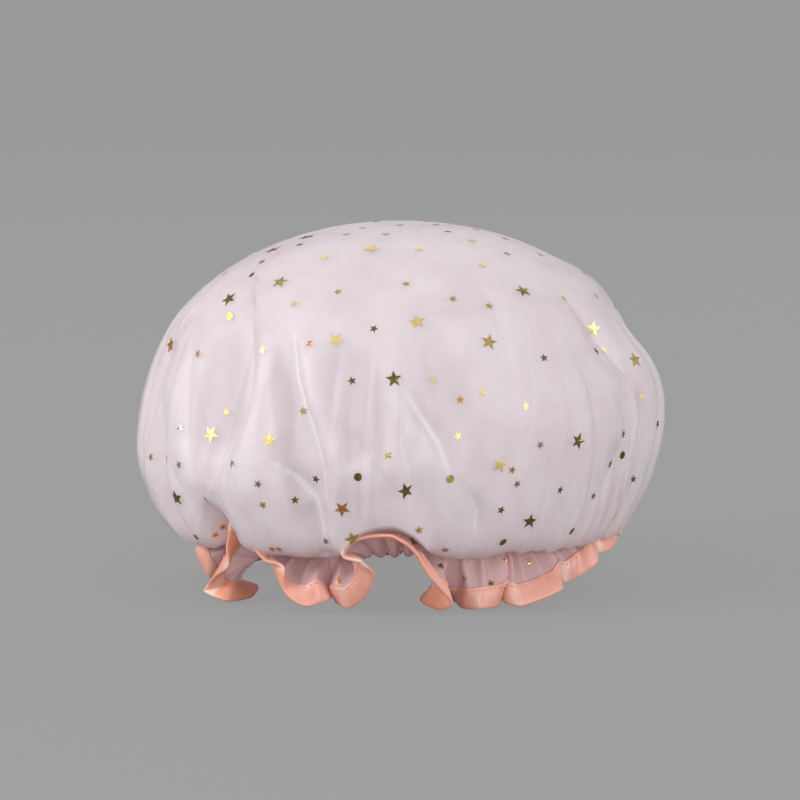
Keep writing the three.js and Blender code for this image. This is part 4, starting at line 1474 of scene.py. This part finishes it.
@dataclass
class HemBinding:
    """Satin tape folded over the hem: an outer face, a rounded fold and an inner face.

    Attributes:
        form: The middle surface.
        section: Half of the tape's outline: millimetres down from its upper edge, and out.
        lining: The same for its inner wall.
    """

    form: CapForm
    section: tuple[tuple[float, float], ...] = (
        (0.0, 0.6),
        (0.12, 0.92),
        (0.7, 1.02),
        (1.7, 0.8),
        (3.0, 1.03),
        (5.5, 1.12),
        (8.0, 1.08),
        (9.8, 0.98),
        (10.7, 0.7),
        (11.1, 0.32),
    )
    lining: tuple[tuple[float, float], ...] = ((9.9, 0.3), (7.0, 0.48), (3.0, 0.48), (0.0, 0.45))

    def outline(self) -> list[tuple[float, float]]:
        """The whole outline, once round."""
        outer = list(self.section)
        inner = list(self.lining)
        back = [(down, -out) for down, out in reversed(outer)]
        wall = [(down, -out) for down, out in reversed(inner)]
        return outer + back + wall + inner

    def fold_highlights(self, lengths: np.ndarray) -> np.ndarray:
        """Share of painted highlight for each column, where it lies on a fold's sharp edge."""
        hem = self.form.points[-1]
        ways = unit(np.roll(hem, -1, axis=0) - hem)
        bend = np.linalg.norm(ways - np.roll(ways, 1, axis=0), axis=1) / lengths
        smooth = sum(np.roll(bend, k) for k in range(-3, 4)) / 7
        return 0.5 * smooth_step(60.0, 320.0, smooth)

    def build(self) -> bpy.types.Object:
        """Makes the tape as one closed ring."""
        form = self.form
        rows = []
        flat = []
        row_mm = form.sizes.tape_width / MM / (len(form.points) - 1 - form.tape_row)
        lengths = np.linalg.norm(np.roll(form.points[-1], -1, axis=0) - form.points[-1], axis=1)
        passed = np.concatenate([[0.0], np.cumsum(lengths)[:-1]])
        # Painted highlight along the sharp folds of the hem
        edge = self.fold_highlights(lengths)
        edges, insides = [], []
        across = 0.0
        last = None
        for down, out in self.outline():
            edges.append(edge)
            # Inner face share, for the painted shade and reflected light
            insides.append(np.full_like(edge, float(out < 0)))
            spots, normals, _ = form.rows_at(form.tape_row + down / row_mm)
            rows.append(spots + normals * out * MM)
            across += 0.0 if last is None else math.dist(last, (down, out)) * MM
            last = (down, out)
            flat.append(np.stack([passed, np.full_like(passed, across)], axis=-1))
        faces = ring_faces(len(rows), len(form.turns), closed=True)
        piece = new_piece("satin_binding", np.stack(rows), faces)
        paint_uv(piece, np.stack(flat))
        # Share of painted highlight along the tape's folds
        paint_share(piece, "edge", np.concatenate(edges))
        # Share of painted shade and reflected light on the inner face
        paint_share(piece, "inside", np.concatenate(insides))
        LOG.info("hem path %.3f m", lengths.sum())
        return finish_piece(piece, SatinTape().build(), "satin_tape", "hem_binding")


@dataclass
class StitchRows:
    """Rows of machine stitches, each stitch a short plump thread that dips at its ends.

    Attributes:
        form: The middle surface.
        length: Length of one stitch.
        gap: Distance between two stitches.
        radius: Half the thickness of the thread.
    """

    form: CapForm
    length: float = 2.4 * MM
    gap: float = 0.7 * MM
    radius: float = 0.26 * MM
    sides: int = 6
    rings: int = 5

    def row(self, place: float, offset: float) -> tuple[np.ndarray, np.ndarray]:
        """Thread rings of one row: points and flat places."""
        spots, normals, _ = self.form.rows_at(place)
        path = spots + normals * offset
        closed = np.concatenate([path, path[:1]])
        passed = np.concatenate([[0.0], np.cumsum(np.linalg.norm(np.diff(closed, axis=0), axis=1))])
        count = int(passed[-1] // (self.length + self.gap))
        pitch = passed[-1] / count
        along = np.linspace(0, self.length / (self.length + self.gap), self.rings)
        marks = (np.arange(count)[:, None] + along) * pitch
        read = [np.interp(marks, passed, closed[:, i]) for i in range(3)]
        centre = np.stack(read, axis=-1)
        turned = np.concatenate([normals, normals[:1]]) * np.sign(offset)
        out = unit(np.stack([np.interp(marks, passed, turned[:, i]) for i in range(3)], axis=-1))
        arch = np.sin(np.linspace(0, math.pi, self.rings))
        centre = centre + out * (arch * 1.2 - 0.55)[None, :, None] * self.radius
        way = unit(np.gradient(centre, axis=1))
        side = unit(np.cross(way, out))
        thick = self.radius * np.sqrt(0.35 + 0.65 * arch)
        angles = np.arange(self.sides) * FULL_TURN / self.sides
        ring = (
            side[:, :, None] * np.cos(angles)[:, None] + out[:, :, None] * np.sin(angles)[:, None]
        )
        points = centre[:, :, None] + ring * thick[None, :, None, None]
        flat = np.stack(
            np.broadcast_arrays(marks[:, :, None], angles * self.radius), axis=-1
        )
        return points, flat

    def thread(self, name: str, places: list[tuple[float, float]]) -> bpy.types.Object:
        """Makes several rows as one piece."""
        made = [self.row(place, offset) for place, offset in places]
        points = np.concatenate([points for points, _ in made])
        flat = np.concatenate([flat for _, flat in made])
        per_stitch = self.rings * self.sides
        faces = []
        for stitch in range(len(points)):
            start = stitch * per_stitch
            for ring in range(self.rings - 1):
                here, there = start + ring * self.sides, start + (ring + 1) * self.sides
                for side in range(self.sides):
                    beside = (side + 1) % self.sides
                    faces.append([here + side, there + side, there + beside, here + beside])
            faces.append([start + side for side in range(self.sides)])
            last = start + per_stitch - 1
            faces.append([last - side for side in range(self.sides)])
        piece = new_piece(name, points, faces)
        paint_uv(piece, flat)
        return piece

    def build(self) -> list[bpy.types.Object]:
        """Makes the two rows of the casing and the row on the tape."""
        form = self.form
        white = SewingThread("white spun thread", "f6f2f2", "ded7d8").build()
        pink = SewingThread("pink spun thread", "f3bfae", "dd947c").build()
        upper, lower = form.ring_rows[-5], form.ring_rows[-3]
        row_mm = form.sizes.tape_width / MM / (len(form.points) - 1 - form.tape_row)
        on_tape = form.tape_row + 1.7 / row_mm
        both = 0.42 * MM
        made = []
        for name, place, node in (
            ("upper_casing_stitches", upper, "casing_stitch_upper"),
            ("lower_casing_stitches", lower, "casing_stitch_lower"),
        ):
            piece = self.thread(name, [(place, both), (place, -both)])
            made.append(finish_piece(piece, white, "white_thread", node))
        face = 0.86 * MM
        piece = self.thread("binding_stitches", [(on_tape, face), (on_tape, -face)])
        made.append(finish_piece(piece, pink, "pink_thread", "binding_stitch"))
        return made


@dataclass
class ElasticRing:
    """The closed ring of braided elastic between the two cloths, and its bartack.

    Attributes:
        form: The middle surface.
        half_width: Half the width of the band.
        half_thickness: Half its thickness.
        inset: How far its middle lies inside the middle surface.
        ribs: Ribs across the band.
    """

    form: CapForm
    half_width: float = 2.5 * MM
    half_thickness: float = 0.4 * MM
    inset: float = 0.5 * MM
    ribs: int = 5

    def build(self) -> bpy.types.Object:
        """Makes the ribbed band."""
        size = self.form.sizes
        turns = self.form.turns
        across = np.linspace(-1, 1, 4 * self.ribs + 1)
        ribs = 1 - 0.16 * (1 + np.cos(across * math.pi * self.ribs)) / 2
        edge = np.sqrt(np.clip(1 - np.abs(across) ** 8, 0, 1))
        outline = [(a, t) for a, t in zip(across, ribs * edge)]
        outline += [(a, -t) for a, t in zip(across[::-1][1:-1], (ribs * edge)[::-1][1:-1])]
        rows, flat = [], []
        for place, out in outline:
            ring = self.form.casing_ring(turns, 0.0)
            ring[:, 2] += place * self.half_width
            level = out * self.half_thickness - self.inset
            ring[:, 0] += np.sin(turns) * level
            ring[:, 1] -= np.cos(turns) * level
            rows.append(ring)
            lengths = turns * size.neck_radius
            flat.append(np.stack([lengths, np.full_like(turns, place * self.half_width)], -1))
        faces = [face[::-1] for face in ring_faces(len(rows), len(turns), closed=True)]
        piece = new_piece("elastic_ring", np.stack(rows), faces)
        paint_uv(piece, np.stack(flat))
        return finish_piece(piece, KnittedElastic().build(), "elastic", "elastic_band")

    def bartack(self) -> bpy.types.Object:
        """Makes the zigzag of thread over the lapped ends."""
        low, high = (Vector(corner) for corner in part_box("elastic_join"))
        middle = (low + high) / 2
        passes = 9
        draft = bpy.data.curves.new("bartack", "CURVE")
        draft.dimensions = "3D"
        draft.bevel_depth = 0.22 * MM
        draft.bevel_resolution = 2
        draft.use_fill_caps = True
        line = draft.splines.new("POLY")
        line.points.add(2 * passes - 1)
        for i in range(2 * passes):
            share = i / (2 * passes - 1)
            x = low.x + (high.x - low.x) * share
            z = middle.z + (1.2 * MM if i % 2 else -1.2 * MM)
            radius = SIZES.neck_radius - 0.75 * MM - self.half_thickness
            y = math.sqrt(radius**2 - x**2)
            spot = Vector((x, y, z))
            line.points[i].co = (*spot, 1)
        curve = bpy.data.objects.new("bartack_thread", draft)
        bpy.context.scene.collection.objects.link(curve)
        graph = bpy.context.evaluated_depsgraph_get()
        mesh = bpy.data.meshes.new_from_object(curve.evaluated_get(graph))
        bpy.data.objects.remove(curve)
        piece = bpy.data.objects.new("bartack_thread", mesh)
        bpy.context.scene.collection.objects.link(piece)
        mesh.shade_smooth()
        corners = np.empty(len(mesh.vertices) * 3)
        mesh.vertices.foreach_get("co", corners)
        paint_uv(piece, corners.reshape(-1, 3)[:, [0, 2]])
        white = bpy.data.materials["white spun thread"]
        return finish_piece(piece, white, "white_thread", "elastic_join")


# --- Gold foil -----------------------------------------------------------------------------


class FoilKind(Enum):
    """The three foil shapes."""

    LARGE = "large"
    SMALL = "small"
    DOT = "dot"


L, S, D = FoilKind.LARGE, FoilKind.SMALL, FoilKind.DOT
RADII = {L: 4.4 * MM, S: 2.3 * MM, D: 2.1 * MM}

# Foil of the front: for each tone and kind the pixels where it shows
FRONT_FOIL = {
    (FoilTone.CREAM, L): ((336, 340), (417, 322), (593, 329), (500, 465), (269, 440)),
    (FoilTone.CREAM, S): (
        (433, 380), (458, 436), (526, 406), (563, 298), (596, 296), (294, 304), (482, 393),
        (314, 558), (531, 563), (262, 350), (641, 396), (603, 351),
    ),
    (FoilTone.CREAM, D): ((324, 257),),
    (FoilTone.GOLD, L): ((371, 249), (280, 282), (489, 342), (635, 360), (353, 539), (412, 542)),
    (FoilTone.GOLD, S): (
        (338, 292), (419, 250), (482, 266), (406, 284), (453, 299), (489, 306), (303, 411),
        (540, 255), (263, 505), (206, 500), (419, 530), (464, 579), (512, 470),
    ),
    (FoilTone.GOLD, D): ((230, 316), (472, 241), (450, 479)),
    (FoilTone.OLIVE, L): (
        (394, 379), (229, 299), (523, 291), (406, 491), (530, 521), (578, 441), (176, 498),
    ),
    (FoilTone.OLIVE, S): (
        (252, 275), (300, 245), (374, 329), (352, 381), (388, 455), (316, 479), (295, 500),
        (544, 358), (596, 351), (560, 490), (610, 464), (633, 479), (623, 434), (501, 510),
        (196, 537), (507, 254), (491, 584), (448, 232), (657, 424), (509, 590),
    ),
    (FoilTone.OLIVE, D): ((358, 477), (622, 455), (572, 531), (503, 542)),
    (FoilTone.COPPER, L): ((211, 434), (171, 345), (342, 509)),
    (FoilTone.COPPER, S): (
        (310, 344), (227, 412), (151, 457), (198, 354), (215, 535), (223, 527), (445, 550),
        (506, 559), (272, 549), (279, 549), (338, 580), (460, 400),
    ),
    (FoilTone.SILVER, S): (
        (266, 246), (262, 262), (180, 428), (179, 465), (232, 464), (326, 541), (540, 445),
        (593, 496), (441, 566), (258, 484), (517, 484),
    ),
}


@dataclass(frozen=True)
class FoilPlace:
    """One piece of foil on the organza."""

    spot: Vector
    facing: Vector
    kind: FoilKind
    tone: FoilTone
    twist: float


@dataclass
class FoilScatter:
    """The stars and dots stamped on the organza.

    Attributes:
        cover: The organza.
        camera: The photograph's camera, through whose pixels the front ones are placed.
        seed: Draws the twist of each, and the places of those round the sides and back.
        scattered: How many are tried for on the sides and back.
        clearance: Least distance between two pieces there.
        lift: Gap between the foil and the cloth, so that neither shows through the other.
        thickness: Thickness of the foil.
    """

    cover: bpy.types.Object
    camera: bpy.types.Object
    seed: int = 19
    scattered: int = 260
    clearance: float = 15 * MM
    lift: float = 0.16 * MM
    thickness: float = 0.12 * MM
    waist: float = 0.42

    def __post_init__(self) -> None:
        """Readies the search tree over the cloth."""
        mesh = self.cover.data
        self.tree = BVHTree.FromPolygons(
            [v.co for v in mesh.vertices], [p.vertices for p in mesh.polygons]
        )
        self.draw = np.random.default_rng(self.seed)
        self.places: list[FoilPlace] = []

    def template(self, kind: FoilKind) -> bpy.types.Mesh:
        """Models one foil shape, flat at the origin."""
        bpy.ops.object.select_all(action="DESELECT")
        is_dot = kind is FoilKind.DOT
        bpy.ops.mesh.primitive_circle_add(
            vertices=12 if is_dot else 10, radius=RADII[kind], fill_type="TRIFAN"
        )
        shape = bpy.context.active_object
        bpy.ops.object.mode_set(mode="EDIT")
        bpy.ops.mesh.select_mode(type="VERT")
        bpy.ops.mesh.select_all(action="DESELECT")
        bpy.ops.object.mode_set(mode="OBJECT")
        rim = [v for v in shape.data.vertices if v.co.length > RADII[kind] / 2]
        if not is_dot:
            for i, vertex in enumerate(sorted(rim, key=lambda v: math.atan2(v.co.y, v.co.x))):
                vertex.select = i % 2 == 1
            bpy.ops.object.mode_set(mode="EDIT")
            share = self.waist
            bpy.ops.transform.resize(value=(share, share, 1), center_override=(0, 0, 0))
            bpy.ops.object.mode_set(mode="OBJECT")
        mesh = shape.data
        bpy.data.objects.remove(shape)
        return mesh

    def keep(self, spot: Vector, facing: Vector, kind: FoilKind, tone: FoilTone) -> None:
        """Notes a piece of foil."""
        twist = float(self.draw.uniform(0, FULL_TURN))
        self.places.append(FoilPlace(spot, facing, kind, tone, twist))

    def place_front(self) -> None:
        """Places the foil that the photograph shows, by casting rays through its pixels."""
        data = self.camera.data
        half = data.sensor_width / 2 / data.lens
        turn = self.camera.matrix_world.to_3x3()
        start = self.camera.matrix_world.translation
        middle = VIEW.frame / 2
        for (tone, kind), pixels in FRONT_FOIL.items():
            for across, down in pixels:
                aside, rise = (across - middle) / middle, (middle - down) / middle
                ray = Vector((aside * half, rise * half, -1))
                spot, facing, _, _ = self.tree.ray_cast(start, (turn @ ray).normalized())
                if spot is not None:
                    self.keep(spot, facing, kind, tone)

    def place_over_solids(self) -> dict[FoilTone, list[str]]:
        """Places foil where the solids have it, unless the front already shows one there.

        Returns:
            For each tone, the solids that its foil stands for.
        """
        taken: dict[FoilTone, list[str]] = {tone: [] for tone in FoilTone}
        tones = list(FoilTone)
        near = 24 * MM
        nodes = sorted(name for name in frame["nodes"] if name.startswith("foil_"))
        for i, name in enumerate(nodes):
            low, high = (Vector(corner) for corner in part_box(name))
            kind = FoilKind(name.split("_")[1])
            spot, facing, _, _ = self.tree.find_nearest((low + high) / 2)
            rivals = [p for p in self.places if p.kind is kind and p.spot.y < 0]
            best = min(rivals, key=lambda p: (p.spot - spot).length)
            if spot.y > 0 or (best.spot - spot).length > near:
                # Painted reflection tone taken in turn
                self.keep(spot, facing, kind, tones[i % 4])
                best = self.places[-1]
            taken[best.tone].append(name)
        return taken

    def place_round(self) -> None:
        """Scatters foil over the sides and the back, as densely as on the front."""
        kinds = (L, S, S, S, D, S, S, S)
        tones = list(FoilTone)
        golden = math.pi * (3 - math.sqrt(5))
        middle = Vector((0, 0, 90 * MM))
        for i in range(self.scattered):
            high = 1 - 1.95 * (i + 0.5) / self.scattered
            level = math.sqrt(1 - high * high)
            turn = golden * i + self.draw.uniform(-0.16, 0.16)
            way = Vector((level * math.sin(turn), level * math.cos(turn), high))
            spot, facing, _, _ = self.tree.ray_cast(middle, way)
            draws = self.draw.integers(0, 1000)
            if spot is None:
                continue
            pixel = VIEW.pixels(np.array(spot))
            in_front = facing.y < -0.12 and pixel[1] < 560
            if in_front or spot.z < 30 * MM:
                continue
            if min((p.spot - spot).length for p in self.places) < self.clearance:
                continue
            # Painted reflection tone drawn at random
            self.keep(spot, facing, kinds[draws % 8], tones[draws // 8 % 5])

    def lay(self, place: FoilPlace, mesh: bpy.types.Mesh) -> np.ndarray:
        """Lays one shape on the cloth, each of its corners just off the surface."""
        turn = place.facing.to_track_quat("Z", "Y").to_matrix()
        cosine, sine = math.cos(place.twist), math.sin(place.twist)
        points = []
        for vertex in mesh.vertices:
            x = vertex.co.x * cosine - vertex.co.y * sine
            y = vertex.co.x * sine + vertex.co.y * cosine
            spot, facing, _, _ = self.tree.find_nearest(place.spot + turn @ Vector((x, y, 0)))
            points.append(spot + facing * self.lift)
        return np.array(points)

    def build(self) -> list[bpy.types.Object]:
        """Makes one piece of each tone."""
        self.place_front()
        stands_for = self.place_over_solids()
        self.place_round()
        shapes = {kind: self.template(kind) for kind in FoilKind}
        made = []
        for tone in FoilTone:
            points: list[np.ndarray] = []
            faces: list[list[int]] = []
            for place in (p for p in self.places if p.tone is tone):
                mesh = shapes[place.kind]
                start = sum(len(part) for part in points)
                points.append(self.lay(place, mesh))
                faces += [[start + v for v in p.vertices] for p in mesh.polygons]
            piece = new_piece(f"{tone.value}_foil", np.concatenate(points), faces)
            wall = piece.modifiers.new("wall", "SOLIDIFY")
            wall.thickness = self.thickness
            wall.offset = 1.0
            bpy.context.view_layer.objects.active = piece
            bpy.ops.object.modifier_apply(modifier=wall.name)
            piece.data.shade_flat()
            finish_piece(piece, HotFoil(tone).build(), "gold_foil", *stands_for[tone])
            made.append(piece)
        LOG.info("foil pieces: %d", len(self.places))
        return made


# --- The studio ----------------------------------------------------------------------------


@dataclass
class Studio:
    """Floor and backdrop in one sweep of paper, soft lamps, and the photograph's camera."""

    lens: float = 320.0
    sweep_reach: float = 5.6
    sweep_rise: float = 2.2
    sweep_radius: float = 1.0
    half_width: float = 7.0

    def camera(self) -> bpy.types.Object:
        """Makes the camera that sees the cap as the photograph does."""
        data = bpy.data.cameras.new("view")
        data.lens = self.lens
        data.sensor_width = 36.0
        middle = VIEW.frame / 2
        across = (middle - VIEW.origin[0]) * VIEW.metres_per_pixel
        rise = (VIEW.origin[1] - middle) * VIEW.metres_per_pixel
        back = Vector((0, -math.cos(VIEW.slope), math.sin(VIEW.slope)))
        up = Vector((0, math.sin(VIEW.slope), math.cos(VIEW.slope)))
        target = Vector((across, 0, 0)) + up * rise
        distance = middle * VIEW.metres_per_pixel / (18.0 / self.lens)
        camera = bpy.data.objects.new("view", data)
        bpy.context.scene.collection.objects.link(camera)
        camera.location = target + back * distance
        camera.rotation_euler = (-back).to_track_quat("-Z", "Y").to_euler()
        bpy.context.scene.camera = camera
        bpy.context.view_layer.update()
        return camera

    def sweep(self) -> bpy.types.Object:
        """Makes the floor and backdrop."""
        bpy.ops.object.select_all(action="DESELECT")
        reach, radius = self.sweep_reach, self.sweep_radius
        profile = [(-7.0, 0.0), (reach - radius, 0.0)]
        for i in range(1, 17):
            angle = math.pi / 2 * i / 16
            profile.append(
                (reach - radius + radius * math.sin(angle), radius - radius * math.cos(angle))
            )
        profile.append((reach, self.sweep_rise + radius))
        vertices = []
        for y, z in profile:
            vertices += [(-self.half_width, y, z), (self.half_width, y, z)]
        faces = [[2 * i, 2 * i + 1, 2 * i + 3, 2 * i + 2] for i in range(len(profile) - 1)]
        paper = new_piece("paper_sweep", np.array(vertices), faces)
        paper.data.materials.append(StudioPaper().build())
        return paper

    def lamp(self, name: str, place: tuple, size: float, energy: float, colour: str) -> None:
        """Adds a square lamp that faces the middle of the cap."""
        data = bpy.data.lights.new(name, "AREA")
        data.size = size
        data.energy = energy
        data.color = linear(colour)[:3]
        lamp = bpy.data.objects.new(name, data)
        bpy.context.scene.collection.objects.link(lamp)
        lamp.location = place
        aim = Vector((0, 0, 0.08)) - Vector(place)
        lamp.rotation_euler = aim.to_track_quat("-Z", "Y").to_euler()

    def light(self) -> None:
        """Lights the cap softly: from both sides, from low in front and from behind above."""
        self.lamp("key", (-1.55, -0.62, 0.85), 0.7, 16.2, "fffdfd")
        self.lamp("fill", (1.7, -1.0, 0.3), 1.2, 15.5, "fffdfd")
        self.lamp("low", (0.0, -1.7, 0.3), 0.2, 6.5, "fffdfd")
        self.lamp("back", (0.3, 1.3, 1.3), 1.4, 5.5, "ffffff")
        world = bpy.data.worlds.new("studio")
        bpy.context.scene.world = world
        world.use_nodes = True
        world.node_tree.nodes.clear()
        sky = add_node(
            world.node_tree, "Background", {"Color": linear("f6f5f6"), "Strength": 0.63}
        ).outputs[0]
        add_node(world.node_tree, "OutputWorld", {"Surface": sky})
        bpy.context.scene.view_settings.view_transform = "Standard"


def main() -> None:
    """Builds the cap's pieces in order and reports each of them."""
    logging.basicConfig(level=logging.INFO, format="%(name)s: %(message)s", stream=sys.stdout)
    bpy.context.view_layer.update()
    studio = Studio()
    camera = studio.camera()
    form = CapForm()
    discs = ClothDiscs(form)
    cover, film = discs.build()
    elastic = ElasticRing(form)
    elastic.build()
    tape = HemBinding(form).build()
    stitches = StitchRows(form).build()
    elastic.bartack()
    foil = FoilScatter(cover, camera).build()
    studio.sweep()
    studio.light()


if __name__ == "__main__":
    main()
